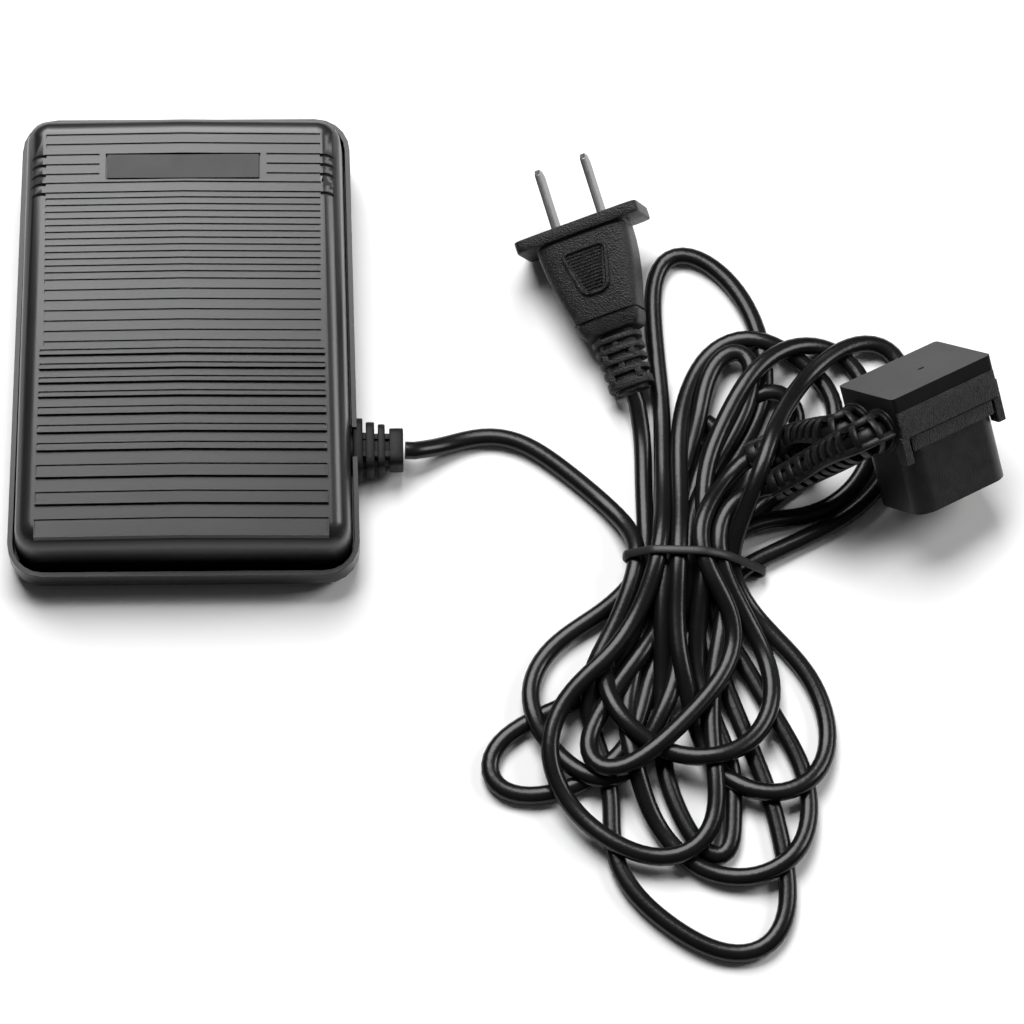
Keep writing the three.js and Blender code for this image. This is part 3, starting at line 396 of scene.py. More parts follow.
def solid(name, parts, smooth=40, place=None):
    """One object from several lists of corners in millimetres and faces."""
    corners, faces = [], []
    for part_corners, part_faces in parts:
        faces += [tuple(i + len(corners) for i in face) for face in part_faces]
        corners += [Vector(corner) for corner in part_corners]
    if place is not None:
        corners = [place @ corner for corner in corners]
    mesh = bpy.data.meshes.new(name)
    mesh.from_pydata([corner * MM for corner in corners], [], faces)
    piece = bpy.data.objects.new(name, mesh)
    bpy.context.scene.collection.objects.link(piece)
    smooth_by(piece, smooth)
    return piece


def pick(piece):
    """Selects one piece alone."""
    bpy.ops.object.select_all(action="DESELECT")
    bpy.context.view_layer.objects.active = piece
    piece.select_set(True)


def smooth_by(piece, degrees):
    pick(piece)
    bpy.ops.object.shade_smooth_by_angle(angle=math.radians(degrees))


def fit(piece, body, slot, look, *stands_for):
    """Gives a piece its finish and fixes it to what it is fixed to."""
    piece.data.materials.clear()
    piece.data.materials.append(look)
    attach(piece, body)
    if stands_for:
        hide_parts(*stands_for)


def finish(name, colour, rough, mottle=(60, 0.15), grain=(2500, 0.02), metal=0.0,
           coat=0.0, stretch=(1, 1, 1), sheer=0.35):
    """A moulded, drawn or painted surface: mottle varies its shade and gloss, grain its relief in mm,
    and sheer is how much of the light it throws back at its surface."""
    look = bpy.data.materials.new(name)
    look.use_nodes = True
    shader = look.node_tree.nodes["Principled BSDF"]
    shader.inputs["Metallic"].default_value = metal
    shader.inputs["Specular IOR Level"].default_value = sheer
    shader.inputs["Coat Weight"].default_value = coat
    shader.inputs["Coat Roughness"].default_value = 0.12
    add, link = look.node_tree.nodes.new, look.node_tree.links.new
    place = add("ShaderNodeTexCoord")
    scale = add("ShaderNodeMapping")
    scale.inputs["Scale"].default_value = stretch
    link(place.outputs["Object"], scale.inputs["Vector"])
    patches = add("ShaderNodeTexNoise")
    patches.inputs["Scale"].default_value = mottle[0]
    patches.inputs["Detail"].default_value = 5
    link(scale.outputs["Vector"], patches.inputs["Vector"])
    ramp = add("ShaderNodeValToRGB")
    for stop, side, at in zip(ramp.color_ramp.elements, (-1, 1), (0.3, 0.7)):
        stop.position = at
        stop.color = [min(1, part * (1 + side * mottle[1])) for part in colour] + [1]
    link(patches.outputs["Fac"], ramp.inputs["Fac"])
    link(ramp.outputs["Color"], shader.inputs["Base Color"])
    gloss = add("ShaderNodeMapRange")
    gloss.inputs["To Min"].default_value = rough * 0.85
    gloss.inputs["To Max"].default_value = min(1, rough * 1.15)
    link(patches.outputs["Fac"], gloss.inputs["Value"])
    link(gloss.outputs["Result"], shader.inputs["Roughness"])
    pits = add("ShaderNodeTexNoise")
    pits.inputs["Scale"].default_value = grain[0]
    pits.inputs["Detail"].default_value = 2
    link(scale.outputs["Vector"], pits.inputs["Vector"])
    relief = add("ShaderNodeBump")
    relief.inputs["Distance"].default_value = grain[1] * MM
    link(pits.outputs["Fac"], relief.inputs["Height"])
    link(relief.outputs["Normal"], shader.inputs["Normal"])
    return look


def ease(points, rounds=3):
    """Takes the last small kinks out of a path, whose ends stay."""
    for _ in range(rounds):
        points[2:-2] = 0.25 * points[1:-3] + 0.5 * points[2:-2] + 0.25 * points[3:-1]
    return points


lead_look = finish("black lead sheath", (0.006, 0.006, 0.0065), 0.25, (90, 0.2), (900, 0.03),
                   sheer=0.27)
pedal_run, mains_run = (ease(run, 8) for run in settle([pedal_lead_route, plug_lead_route]))
pedal_cord = solid("pedal_cord", [sweep(pedal_run, LEAD_WIDTH, LEAD_HEIGHT)], 60)
fit(pedal_cord, "root", "lead_black", lead_look,
    "pedal_lead", "hank_lower", "hank_neck", "hank_upper")
mains_cord = solid("mains_cord", [sweep(mains_run, LEAD_WIDTH, LEAD_HEIGHT)], 60)
fit(mains_cord, "root", "lead_black", lead_look, "plug_lead")


# ---- Cord tie ---------------------------------------------------------------------------------------
# A narrow moulded rubber band drawn tight round the neck of the hank. It touches the outermost turns
# all the way round, and dips a little toward the heel at its right end.
TIE_AT, TIE_WIDTH, TIE_THICK, TIE_DIP = -58.2, 2.3, 1.1, 0.07
TIE_SLACK = 0.1  # between the band and the turns it holds

turns = np.vstack((pedal_run, mains_run))
neck = turns[np.abs(turns[:, 1] - TIE_AT) < 1.6][:, (0, 2)]
middle = neck.mean(axis=0)
loop = []
for angle in np.linspace(0, 2 * math.pi, 72, endpoint=False):
    outward = np.array((math.cos(angle), math.sin(angle)))
    reach = (neck @ outward + np.hypot(outward[0] * LEAD_WIDTH, outward[1] * LEAD_HEIGHT) / 2).max()
    loop.append((outward, reach + TIE_THICK / 2 + TIE_SLACK))
band = []
for (one, far_one), (two, far_two) in zip(loop, loop[1:] + loop[:1]):
    x, z = np.linalg.solve(np.array((one, two)), np.array((far_one, far_two)))
    band.append((x, TIE_AT - TIE_DIP * (x - middle[0]), max(z, TIE_THICK / 2 + 0.05)))
band = np.array(band)
for _ in range(4):
    band = 0.25 * np.roll(band, 1, 0) + 0.5 * band + 0.25 * np.roll(band, -1, 0)
cord_tie = solid("hank_tie", [sweep(band, TIE_WIDTH, TIE_THICK, 12, True, 3)], 50)
fit(cord_tie, "root", "rubber_black", finish("tie rubber", (0.014, 0.014, 0.015), 0.42), "cord_tie")

# ---- Strain relief of the pedal's lead --------------------------------------------------------------
# Soft black rubber moulded onto the lead: thin fins let it bend, a collar closes it, and an inner plate
# holds it in a notch of the tray's wall.
RELIEF_Y, RELIEF_Z = -27, 6.6  # the lead's middle where it leaves
RELIEF_PLATES = [  # from, to, across and high, outward along X
    (40.2, 42.4, 13, 7), (42.9, 45.3, 15.5, 11), (46.1, 48.3, 13.6, 9.6), (49.2, 51, 12.6, 8.8),
    (52.1, 55.7, 10.6, 7.6),
]
RELIEF_CORE = [(40.4, 9.6, 7), (46, 9, 6.8), (52, 7.6, 5.8), (55.4, 6.4, 5)]  # at, across and high
LINKS_AT, LINK_HALF = (45.7, 48.7, 51.5), 0.9  # the small links that join one fin to the next


def slab(start, end, wide, high, edge=0.35, sides=32, fullness=6):
    """A flat block with rounded corners and edges, from one point to another."""
    start, end = np.array(start, float), np.array(end, float)
    step = (end - start) / np.linalg.norm(end - start) * edge
    points = [start, start + step * 0.3, start + step, end - step, end - step * 0.3, end]
    less = np.array((2, 0.6, 0, 0, 0.6, 2)) * edge
    return sweep(points, wide - less, high - less, sides, False, fullness)


relief_parts = [
    slab((a, RELIEF_Y, RELIEF_Z), (b, RELIEF_Y, RELIEF_Z), wide, high, 0.3, 28, 4.5)
    for a, b, wide, high in RELIEF_PLATES
]
core = np.array(RELIEF_CORE)
core_line = [(x, RELIEF_Y, RELIEF_Z) for x in core[:, 0]]
relief_parts.append(sweep(core_line, core[:, 1], core[:, 2], 24, False, 3))
for x in LINKS_AT:
    for y in (RELIEF_Y - 2.4, RELIEF_Y + 2.4):
        for z in (RELIEF_Z - 3.2, RELIEF_Z + 3.2):
            relief_parts.append(slab((x - LINK_HALF, y, z), (x + LINK_HALF, y, z), 1.6, 1.2, 0.1, 8))
lead_relief = solid("pedal_lead_relief", relief_parts, 35)
relief_look = finish("relief rubber", (0.005, 0.005, 0.0055), 0.5, grain=(1800, 0.05), sheer=0.18)
fit(lead_relief, "root", "rubber_black", relief_look, "pedal_strain_relief")

# ---- Base tray --------------------------------------------------------------------------------------
# The shallow lower shell, injection moulded in glossy black ABS, narrower and higher toward the toe.
# Its rim stands clear round the cover.


def copy_of(name, node):
    """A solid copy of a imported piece, its loose triangles joined and its flat faces made whole."""
    piece = bpy.data.objects.new(name, nodes[node].data.copy())
    bpy.context.scene.collection.objects.link(piece)
    pick(piece)
    bpy.ops.mesh.customdata_custom_splitnormals_clear()
    bpy.ops.object.mode_set(mode="EDIT")
    bpy.ops.mesh.select_all(action="SELECT")
    bpy.ops.mesh.remove_doubles(threshold=1e-6)
    bpy.ops.mesh.dissolve_limited(angle_limit=math.radians(0.5))
    bpy.ops.object.mode_set(mode="OBJECT")
    return piece


def even_faces(piece):
    """Keeps flat faces flat where rounded edges meet them."""
    smooth_by(piece, 35)
    even = piece.modifiers.new("even", "WEIGHTED_NORMAL")
    even.keep_sharp = True
    bpy.ops.object.modifier_apply(modifier="even")
    return piece


def round_edges(piece, edge, sharp=40, segments=2):
    """Breaks every edge sharper than an angle, as a mould leaves it."""
    bevel = piece.modifiers.new("edge", "BEVEL")
    bevel.width = edge * MM
    bevel.segments = segments
    bevel.limit_method = "ANGLE"
    bevel.angle_limit = math.radians(sharp)
    bevel.miter_outer = "MITER_ARC"
    pick(piece)
    bpy.ops.object.modifier_apply(modifier="edge")
    return even_faces(piece)


tray = round_edges(copy_of("tray", "base_tray"), 0.24, segments=3)
tray_look = finish("tray plastic", (0.004, 0.004, 0.0045), 0.26, (35, 0.2), (1600, 0.012), sheer=0.24)
fit(tray, "root", "shell_black", tray_look, "base_tray")

# ---- Rubber feet ------------------------------------------------------------------------------------
# Four soft black pads pressed into holes in the tray's floor, which keep the pedal from sliding.
foot_look = finish("foot rubber", (0.017, 0.016, 0.016), 0.62, (140, 0.3), (2200, 0.06))
for number in (1, 2, 3, 4):
    node = f"rubber_foot_{number}"
    foot = round_edges(copy_of(f"foot_{number}", node), 0.3, 60)
    fit(foot, "root", "rubber_black", foot_look, node)

# ---- Cover ------------------------------------------------------------------------------------------
# The rocking lid under the sole, injection moulded in black ABS. Wide bars stand up at the heel, and
# fine grooves, closer and closer toward the toe, are sunk into the rest for grip.
HEEL_Y, HEEL_TOP, TOP_SLOPE, CROWN, HALF_WIDTH = -59, 22, 0.1141, 1.2, 44.6
SIDE_INSET, TRAY_LENGTH, SIDE_TAPER = 1.7, 125, 2.3
GROOVE_DEPTH, GROOVE_REACH = 0.5, 35
WIDE_CUT, FINE_CUT, MEDIUM_CUT, CUTTER_HEIGHT = 1.0, 0.82, 1.15, 6
LONG_GROOVES = [49.1, 46.5, 36.1, 33.5]
SHORT_GROOVES = [43.7, 41.1, 38.5]
SHORT_FROM = 21.3
FINE_GROOVES = np.linspace(32.0, 12.3, 12)
MEDIUM_GROOVES = np.linspace(10.2, -6.1, 7)
EDGE_RADIUS = 4.5
HEEL_BARS = [  # from the heel to each raised bar's middle, and its width
    (4.7, 5.2), (12.5, 3.7), (19.5, 3.7), (25.8, 2.4), (30.5, 2.4), (35.2, 2.4),
    (39.5, 1.9), (43.2, 1.9), (46.8, 1.9), (50.5, 1.9),
]
BAR_HEIGHT, BAR_REACH = 1, 36.6
BAR_LINE, BAR_LIP = 0.5, 0.8  # the line cut round a bar's top, and how far in from its edge
TICKS = [43.7, 41.1, 38.5, 36.1, 33.5]  # short cuts over the rounded side edges


def narrowing(y):
    """How much nearer the middle each side is than at the heel."""
    return SIDE_TAPER * (y / TRAY_LENGTH + 0.5)


def top_height(x, y):
    """The height of the cover's top face."""
    return HEEL_TOP + TOP_SLOPE * (y - HEEL_Y) + CROWN * (1 - abs(x) / HALF_WIDTH)


def cutter(name, boxes):
    """Boxes (middle, size) in one object, their heights counted from the cover's top face."""
    bpy.ops.object.select_all(action="DESELECT")
    mesh = bpy.data.meshes.new(name)
    tool = bpy.data.objects.new(name, mesh)
    bpy.context.scene.collection.objects.link(tool)
    pick(tool)
    bpy.ops.object.mode_set(mode="EDIT")
    for place, size in boxes:
        middle, scale = Vector(place) * MM, Vector(size) * MM
        bpy.ops.mesh.primitive_cube_add(size=1, location=middle, scale=scale)
    bpy.ops.mesh.select_all(action="SELECT")
    bpy.ops.mesh.bisect(plane_co=(0, 0, 0), plane_no=(1, 0, 0))
    bpy.ops.object.mode_set(mode="OBJECT")
    for corner in mesh.vertices:
        corner.co.z += top_height(corner.co.x / MM, corner.co.y / MM) * MM
    return tool


def cut(piece, tool):
    """Cuts a tool's shape out of a piece and throws the tool away."""
    saw = piece.modifiers.new("cut", "BOOLEAN")
    saw.object = tool
    saw.solver = "EXACT"
    pick(piece)
    bpy.ops.object.modifier_apply(modifier="cut")
    bpy.data.objects.remove(tool)


def groove(y, width, start=-GROOVE_REACH, end=GROOVE_REACH):
    """A cutter's box for a groove across the top face."""
    place = (start + end) / 2, y, CUTTER_HEIGHT / 2 - GROOVE_DEPTH
    return place, (end - start, width, CUTTER_HEIGHT)


grooves = [groove(y, WIDE_CUT) for y in LONG_GROOVES]
grooves += [groove(y, FINE_CUT) for y in FINE_GROOVES]
grooves += [groove(y, MEDIUM_CUT) for y in MEDIUM_GROOVES]
grooves += [groove(y, WIDE_CUT, *sorted((side * SHORT_FROM, side * GROOVE_REACH)))
            for y in SHORT_GROOVES for side in (-1, 1)]
bar_ends = []
for from_heel, width in HEEL_BARS:
    y = HEEL_Y + from_heel
    reach = BAR_REACH - narrowing(y)
    level = BAR_HEIGHT - GROOVE_DEPTH + CUTTER_HEIGHT / 2
    grooves.append(((0, y + width / 2 - BAR_LIP, level), (2 * reach, BAR_LINE, CUTTER_HEIGHT)))
    bar_ends += [((side * reach, y, level), (BAR_LINE, width - 1.2, CUTTER_HEIGHT))
                 for side in (-1, 1)]
tick_cuts = []
for side in (-1, 1):
    for y in TICKS:
        edge = HALF_WIDTH - SIDE_INSET - narrowing(y) - EDGE_RADIUS
        path = []
        for t in np.linspace(-0.22, 1.1, 16):
            radius = EDGE_RADIUS + 1.2 * abs(t - 0.45) ** 4
            turn = math.pi / 2 * t
            path.append((
                side * (edge + radius * math.sin(turn)),
                y - 3.4 * max(t, 0) ** 1.5,
                top_height(edge, y) - EDGE_RADIUS + radius * math.cos(turn),
            ))
        tick_cuts.append(sweep(path, 0.9, 1.5, 8))
cover = copy_of("cover", "cover_shell")
cut(cover, cutter("grooves", grooves))
cut(cover, cutter("bar_ends", bar_ends))
cut(cover, solid("ticks", tick_cuts, 30))
round_edges(cover, 0.24, 38, 3)
cover_look = finish("cover plastic", (0.014, 0.014, 0.0145), 0.31, (30, 0.2), (1500, 0.012),
                    sheer=0.5)
fit(cover, "cover", "shell_black", cover_look, "cover_shell")

# ---- Badge plate ------------------------------------------------------------------------------------
# A thin moulded plate stuck in a shallow pocket of the cover. It carries no name, only a fine
# eggshell grain.
badge = round_edges(copy_of("badge", "badge_plate"), 0.12)
badge_look = finish("badge plastic", (0.03, 0.03, 0.031), 0.5, (200, 0.1), (2600, 0.03))
fit(badge, "cover", "moulded_black", badge_look, "badge_plate")

# ---- Mains plug -------------------------------------------------------------------------------------
# A two-blade plug moulded in one piece of grained black PVC with its relief. Its two broad faces
# carry a textured finger grip inside a raised bead. Five rings let the relief bend.
PLUG_PLACE = Matrix.Translation((102.8, 31.4, 13.8)) @ Euler(
    [math.radians(turn) for turn in (12, -20, 12.5)], "XYZ").to_matrix().to_4x4()
PLUG_SHAPE = [  # along the plug, across, thick
    (-1.4, 24.8, 13.6), (-1.9, 24.2, 13.2), (-2.3, 24.9, 14), (-6, 24.7, 14), (-10, 23.8, 14),
    (-14, 22.4, 13.9), (-18, 20.6, 13.6), (-22, 18.6, 13.2), (-23.8, 17.7, 13),
    (-24.1, 17.5, 12.9), (-24.2, 16.5, 11.8), (-24.9, 16.2, 11.6), (-25, 17.5, 12.6),
    (-27, 16.6, 12), (-28.3, 15.2, 11), (-28.6, 14.2, 10),
]
GRIP = [(6.1, -5.8), (3.3, -17.8), (-3.3, -17.8), (-6.1, -5.8)]
GRIP_ROWS, GRIP_FACE = 12, 7.02
RINGS, RING_PITCH, FIRST_RING, RING_THICK, LAST_RING_THICK = 5, 2.9, -30.4, 1.5, 2.4
LINK_STEP = 3.6  # between the small links that join the rings, and from the middle to them

shape = np.array(PLUG_SHAPE)
plug_parts = [
    slab((0, 1.6, 0), (0, -1.6, 0), 34, 16, 0.3, 64, 14),
    sweep([(0, y, 0) for y in shape[:, 0]], shape[:, 1], shape[:, 2], 48, False, 6),
    sweep([(0, -28, 0), (0, -44.6, 0)], (9.8, 8.6), (7.6, 6.8), 24, False, 3),
]
for ring in range(RINGS):
    last = ring == RINGS - 1
    y = FIRST_RING - ring * RING_PITCH
    start = y + RING_THICK / 2
    end = start - (LAST_RING_THICK if last else RING_THICK)
    plug_parts.append(slab((0, start, 0), (0, end, 0), 13 - 0.3 * ring, 9.6 - 0.2 * ring, 0.3, 28, 3.4))
    for place in (-1, 0, 1):
        for face in (-1, 1):
            if not last and (ring + place) % 2 == 0:
                x, z = place * LINK_STEP, face * LINK_STEP
                plug_parts.append(slab((x, y, z), (x, y - RING_PITCH, z), 1.7, 1.4, 0.1, 8))


def rounded_loop(corners, radius, z):
    """A closed path through corners, each turned with a radius."""
    path = []
    count = len(corners)
    for i, corner in enumerate(corners):
        at = np.array(corner, float)
        before, after = np.array(corners[i - 1]) - at, np.array(corners[(i + 1) % count]) - at
        one, two = (at + arm / np.linalg.norm(arm) * radius for arm in (before, after))
        for t in np.linspace(0, 1, 7):
            path.append((*((1 - t) ** 2 * one + 2 * t * (1 - t) * at + t * t * two), z))
    return path


for face in (-1, 1):
    plug_parts.append(sweep(rounded_loop(GRIP, 2.4, face * 7.05), 1.2, 1.3, 10, True, 2))
    for row in range(GRIP_ROWS):
        y = -7.1 - row * 0.86
        half = 4.9 - 2.6 * row / (GRIP_ROWS - 1)
        beads = np.arange(-half, half, 0.22)
        swell = np.where(np.arange(len(beads)) % 2, 0.3, 0.72)
        plug_parts.append(sweep([(x, y, face * GRIP_FACE) for x in beads], swell, swell, 6))
plug = solid("plug", plug_parts, 35, PLUG_PLACE)
moulded_look = finish("moulded plug", (0.01, 0.01, 0.0105), 0.45, (500, 0.5), (2300, 0.3))
fit(plug, "root", "moulded_black", moulded_look, "plug_body")

# ---- Plug blades ------------------------------------------------------------------------------------
# Two flat blades stamped from brass strip and nickel plated, with the rounded end that a worn tool
# leaves. They are held in the moulding by their roots.
nickel = finish("nickel plate", (0.17, 0.17, 0.175), 0.38, (120, 0.2), (800, 0.006), metal=1.0,
                stretch=(6, 1, 6))
for side in ("left", "right"):
    blade = round_edges(copy_of(f"blade_{side}", f"plug_blade_{side}"), 0.3)
    fit(blade, "root", "nickel", nickel, f"plug_blade_{side}")

# ---- Block connector --------------------------------------------------------------------------------
# The three-pole connector that plugs into the machine: a socket body of black nylon and a snap-on cap.
# The cap has a smooth lid, a sparkle-grained front band and a clip over each end of the socket.
BLOCK_PLACE = Matrix.Translation((189, -28.4, 20.8)) @ Euler(
    [math.radians(turn) for turn in (41, 12, 30)], "XYZ").to_matrix().to_4x4()
CAP_BOTTOM, CAP_TOP, HALF_LONG, HALF_DEEP = 5, 16.5, 15.7, 12

cap = round_edges(copy_of("cap", "connector_cap"), 1.7, 50, 5)
pin_mark = sweep([(1.6, CAP_TOP - 1.2, 0.8), (1.6, CAP_TOP + 1, 0.8)], 2.0, 0.9, 16, False, 2)
cut(cap, solid("pin mark", [pin_mark], 30, BLOCK_PLACE))
even_faces(cap)
socket = round_edges(copy_of("socket", "connector_socket"), 0.7, 50, 3)


def plate(low, high, edge=0.3, fullness=9):
    """A block between two corners of the connector, its edges rounded."""
    low, high = np.array(low, float), np.array(high, float)
    at = (low + high) / 2
    start, end = (at[0], low[1], at[2]), (at[0], high[1], at[2])
    return slab(start, end, high[0] - low[0], high[2] - low[2], edge, 40, fullness)


cap_details = [
    plate((-15.4, CAP_BOTTOM + 0.4, HALF_DEEP - 0.8), (15.2, CAP_BOTTOM + 7.6, HALF_DEEP + 0.35)),
    plate((-15.9, -1.5, HALF_DEEP - 3.4), (-13.4, CAP_BOTTOM + 1, HALF_DEEP + 0.2)),
    plate((13.8, -1.8, HALF_DEEP - 4.5), (16.3, CAP_BOTTOM + 4.5, HALF_DEEP - 0.8)),
    plate((-12.6, 1.1, HALF_DEEP - 2.4), (13.2, CAP_BOTTOM + 1, HALF_DEEP - 0.5)),
]
clips = solid("cap_clips", cap_details, 35, BLOCK_PLACE)
grain_look = finish("grained nylon", (0.01, 0.01, 0.0105), 0.4, (600, 0.6), (2300, 0.4))
socket_look = finish("nylon", (0.012, 0.012, 0.0125), 0.42, (260, 0.25), (1900, 0.08), sheer=0.45)
lid_look = finish("smooth nylon", (0.006, 0.006, 0.0065), 0.42, (60, 0.15), (1700, 0.05), sheer=0.22)
fit(cap, "root", "moulded_black", lid_look, "connector_cap")
fit(clips, "root", "moulded_black", grain_look)
fit(socket, "root", "moulded_black", socket_look, "connector_socket")

# ---- Caged reliefs of the connector -----------------------------------------------------------------
# Each lead enters the connector through a soft tapered cage: hoops joined by four spines, with the
# lead running down the middle and a plain collar at the tip.
CAGE_START, CAGE_END, HOOPS, CAGE_STEPS = 5.2, 4, 11, 60
SPINES, CAGE_THICK, HOOP_WIDE = 4, 1.2, 1.7


def hoop(at, along, side, top, outer, inner, width):
    """A flat ring round a path, with its outer edges broken."""
    corners, faces = [], []
    count = 28
    outline = [(outer - 0.15, -width / 2), (outer, -width / 4), (outer, width / 4),
               (outer - 0.15, width / 2), (inner, width / 2), (inner, -width / 2)]
    for angle in np.linspace(0, 2 * math.pi, count, endpoint=False):
        out = side * math.cos(angle) + top * math.sin(angle)
        corners += [at + out * radius + along * shift for radius, shift in outline]
    for i in range(count):
        j = (i + 1) % count
        faces += [(i * 6 + k, j * 6 + k, j * 6 + (k + 1) % 6, i * 6 + (k + 1) % 6) for k in range(6)]
    return corners, faces


for side, name, rest in ((1, "near", [(160.5, -37.4, 21.5), (149.6, -40.6, 13.4)]),
                         (-1, "far", [(155.5, -28.2, 13.6), (144.6, -30.6, 8.4)])):
    start = [tuple(BLOCK_PLACE @ Vector((-HALF_LONG - out, 7.6, side * 5.3))) for out in (0.3, 7)]
    rough, _ = smooth_route([(SEEN, start + rest)])
    wanted = np.linspace(0, len(rough) - 1, CAGE_STEPS + 1)
    way = [np.interp(wanted, range(len(rough)), rough[:, k]) for k in range(3)]
    way = ease(np.column_stack(way), 12)
    along, level_side, upper = frames(way)
    radius = np.linspace(CAGE_START, CAGE_END, len(way))
    cage_parts = [sweep(way, 5.6, 5.2, 16)]
    for spine in range(SPINES):
        turn = (spine + 0.5) * 2 * math.pi / SPINES
        out = level_side * math.cos(turn) + upper * math.sin(turn)
        cage_parts.append(sweep(way + out * (radius[:, None] - CAGE_THICK / 2), 1.9, 1.4, 12, False, 4))
    for at in np.linspace(2, 54, HOOPS).round().astype(int):
        ring = way[at], along[at], level_side[at], upper[at]
        cage_parts.append(hoop(*ring, radius[at], radius[at] - CAGE_THICK, HOOP_WIDE))
    collars = [(CAGE_STEPS - 2, CAGE_END + 0.1, 1.8, 2.4), (1, CAGE_START + 0.5, 2, 1.2)]
    for at, outer, inner, width in collars:
        cage_parts.append(hoop(way[at], along[at], level_side[at], upper[at], outer, inner, width))
    relief = solid(f"{name}_cage", cage_parts, 40)
    cage_look = finish(f"{name} cage rubber", (0.005, 0.005, 0.0055), 0.42, (200, 0.3), (1500, 0.08),
                       sheer=0.28)
    fit(relief, "root", "rubber_black", cage_look, f"connector_relief_{name}")

# ---- Return springs ---------------------------------------------------------------------------------
# Two coil springs of zinc-plated music wire, their end turns wound close, stand in cups on the floor
# and push the cover up.
WIRE, COIL_RADIUS, COIL_TURNS, COIL_STEPS = 1.1, 4.2, 6.5, 260
END_SHARE, END_CLIMB = 0.15, 0.9  # how much of the wire an end takes, and how little it climbs there
steel = finish("zinc plated steel", (0.5, 0.5, 0.49), 0.32, (300, 0.2), (1500, 0.01), metal=1.0)
for side in ("left", "right"):
    low, high = (np.array(corner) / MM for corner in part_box(f"return_spring_{side}"))
    middle = (low + high) / 2
    climb = np.linspace(0, 1, COIL_STEPS)
    end_rise = END_SHARE * END_CLIMB
    rise = np.interp(climb, (0, END_SHARE, 1 - END_SHARE, 1), (0, end_rise, 1 - end_rise, 1))
    angle = climb * COIL_TURNS * 2 * math.pi
    coil = np.column_stack((
        middle[0] + COIL_RADIUS * np.cos(angle), middle[1] + COIL_RADIUS * np.sin(angle),
        low[2] + WIRE / 2 + rise * (high[2] - low[2] - WIRE)))
    spring = solid(f"spring_{side}", [sweep(coil, WIRE, WIRE, 10, False, 2)], 50)
    fit(spring, "root", "steel", steel, f"return_spring_{side}")
    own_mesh(spring)

# ---- Hinge, screws and stop -------------------------------------------------------------------------
# The cover turns on a ground steel pin held by two pressed brackets. Every screw is a small zinc-plated
# self-tapper, and a rubber bumper under the toe stops the cover.


def finish_inside(slot, look, edge, *inside):
    """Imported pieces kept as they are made, with their edges broken and their own finish."""
    pieces = []
    for node in inside:
        piece = round_edges(copy_of(f"{node}_part", node), edge, 50)
        fit(piece, nodes[node]["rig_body"], slot, look, node)
        pieces.append(piece)
    return pieces


screws = [f"board_screw_{i}" for i in (1, 2, 3, 4)] + ["bracket_screw_left", "bracket_screw_right"]
finish_inside("steel", steel, 0.12, "hinge_pin", *screws, "clamp_screw_1", "clamp_screw_2")
pressed_steel = finish("pressed steel", (0.42, 0.42, 0.42), 0.4, (60, 0.2), (900, 0.01), metal=1.0,
                       stretch=(1, 1, 8))
finish_inside("steel", pressed_steel, 0.2, "hinge_bracket_left", "hinge_bracket_right")
bumper_look = finish("bumper rubber", (0.014, 0.014, 0.014), 0.6, (150, 0.3), (2000, 0.06))
finish_inside("rubber_black", bumper_look, 0.4, "stop_bumper")

# ---- Speed control ----------------------------------------------------------------------------------
# A tan paper-phenolic board carries the triac on its finned sink, a choke, a film capacitor, a nylon
# terminal block and the slide potentiometer, whose white plunger the cover presses.
board_look = finish("paper phenolic board", (0.34, 0.19, 0.08), 0.5, (90, 0.25), (700, 0.02), sheer=0.5)
finish_inside("board_tan", board_look, 0.15, "circuit_board")
phenolic = finish("black phenolic", (0.018, 0.015, 0.014), 0.35, (150, 0.3), (1800, 0.03), sheer=0.5)
finish_inside("phenolic", phenolic, 0.2, "slide_potentiometer", "triac")
nylon = finish("white nylon", (0.72, 0.71, 0.66), 0.4, (80, 0.06), (1500, 0.02), sheer=0.5)
finish_inside("white_nylon", nylon, 0.25, "plunger", "terminal_block")
aluminium = finish("extruded aluminium", (0.62, 0.63, 0.65), 0.3, (70, 0.12), (900, 0.012), metal=1.0,
                   stretch=(1, 12, 12))
finish_inside("aluminium", aluminium, 0.15, "heat_sink")
epoxy = finish("capacitor epoxy", (0.62, 0.36, 0.03), 0.3, (120, 0.12), (900, 0.02), sheer=0.5)
finish_inside("film_yellow", epoxy, 0.5, "suppressor_capacitor")
brass = finish("brass contact", (0.72, 0.5, 0.2), 0.3, (250, 0.2), (1200, 0.01), metal=1.0)
contact_nodes = [f"socket_contact_{number}" for number in (1, 2, 3)]
contacts = finish_inside("brass", brass, 0.08, *contact_nodes)
clamp_look = finish("clamp nylon", (0.02, 0.02, 0.02), 0.45, (150, 0.3), (1600, 0.04))
finish_inside("moulded_black", clamp_look, 0.3, "cord_clamp")
finish_inside("lead_black", lead_look, 0.1, "lead_tail")

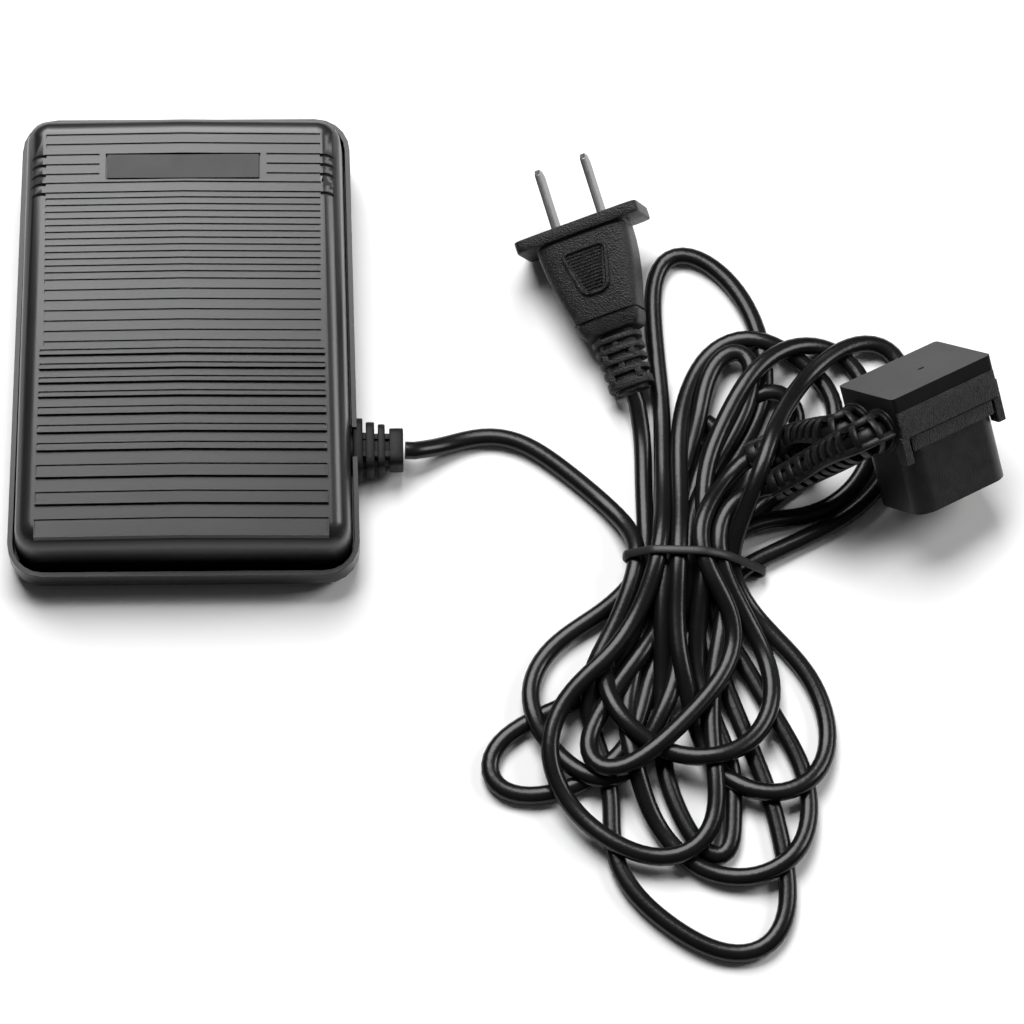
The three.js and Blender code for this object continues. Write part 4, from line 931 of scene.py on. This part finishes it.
# ---- Choke ------------------------------------------------------------------------------------------
# Enamelled copper wire wound close in one layer on a straight ferrite core, soldered flat to the board.
WINDING_PITCH, WINDING_WIRE, STEPS_A_TURN = 0.75, 0.7, 20
low, high = (np.array(corner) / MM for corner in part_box("choke_coil"))
choke_look = finish("enamelled copper", (0.5, 0.15, 0.04), 0.25, (400, 0.2), (1200, 0.02), metal=1.0)
middle, size = (low + high) / 2, high - low
long = int(np.argmax(size))
core_radius = sorted(size)[0] / 2
spans = np.zeros(3)
spans[long] = size[long] / 2
first, last = middle - spans, middle + spans
turn_count = int(size[long] / WINDING_PITCH)
wire_radius = core_radius - 0.36
winding = []
for t in np.linspace(0, 1, turn_count * STEPS_A_TURN):
    out = np.zeros(3)
    out[(long + 1) % 3] = math.cos(t * turn_count * 2 * math.pi) * wire_radius
    out[(long + 2) % 3] = math.sin(t * turn_count * 2 * math.pi) * wire_radius
    winding.append(first + (last - first) * (0.03 + 0.94 * t) + out)
bobbin = slab(first, last, 2 * core_radius - 1, 2 * core_radius - 1, 0.2, 24, 2)
choke = solid("choke", [sweep(winding, WINDING_WIRE, WINDING_WIRE, 8, False, 2), bobbin], 50)
fit(choke, "root", "enamelled_copper", choke_look, "choke_coil")

# ---- Floor and light --------------------------------------------------------------------------------
# A plain pale table top under a large soft light, in a white room.
SET_MIDDLE = Vector((0.08, 0, 0))
UNDER_FEET = Vector((0, 0, 0.0002))

bpy.ops.object.select_all(action="DESELECT")
bpy.ops.mesh.primitive_plane_add(size=8, location=SET_MIDDLE - UNDER_FEET)
floor = bpy.context.object
floor.name = "table_top"
floor.data.materials.append(finish("table top", (0.93, 0.93, 0.93), 0.7, (4, 0.01), (300, 0.02)))

room = bpy.data.worlds.new("room")
room.use_nodes = True
air = room.node_tree
sky = air.nodes["Background"]
toward_sky = air.nodes.new("ShaderNodeTexCoord")
height = air.nodes.new("ShaderNodeSeparateXYZ")
glow = air.nodes.new("ShaderNodeMapRange")
for setting, value in (("From Min", 0.25), ("From Max", 0.95), ("To Min", 0.2), ("To Max", 1.6)):
    glow.inputs[setting].default_value = value
air.links.new(toward_sky.outputs["Generated"], height.inputs["Vector"])
air.links.new(height.outputs["Z"], glow.inputs["Value"])
air.links.new(glow.outputs["Result"], sky.inputs["Strength"])
bpy.context.scene.world = room
bpy.context.scene.view_settings.view_transform = "Standard"


def soft_light(name, place, size, power):
    """A square soft light that faces the pedal."""
    light = bpy.data.lights.new(name, "AREA")
    light.size = size
    light.energy = power
    lamp = bpy.data.objects.new(name, light)
    bpy.context.scene.collection.objects.link(lamp)
    facing_set = (SET_MIDDLE - Vector(place)).to_track_quat("-Z", "Y").to_matrix().to_4x4()
    lamp.matrix_world = Matrix.Translation(place) @ facing_set


soft_light("top light", (-0.1, 0.55, 1), 0.7, 18)
soft_light("side light", (0.9, 0.2, 0.7), 0.4, 5)
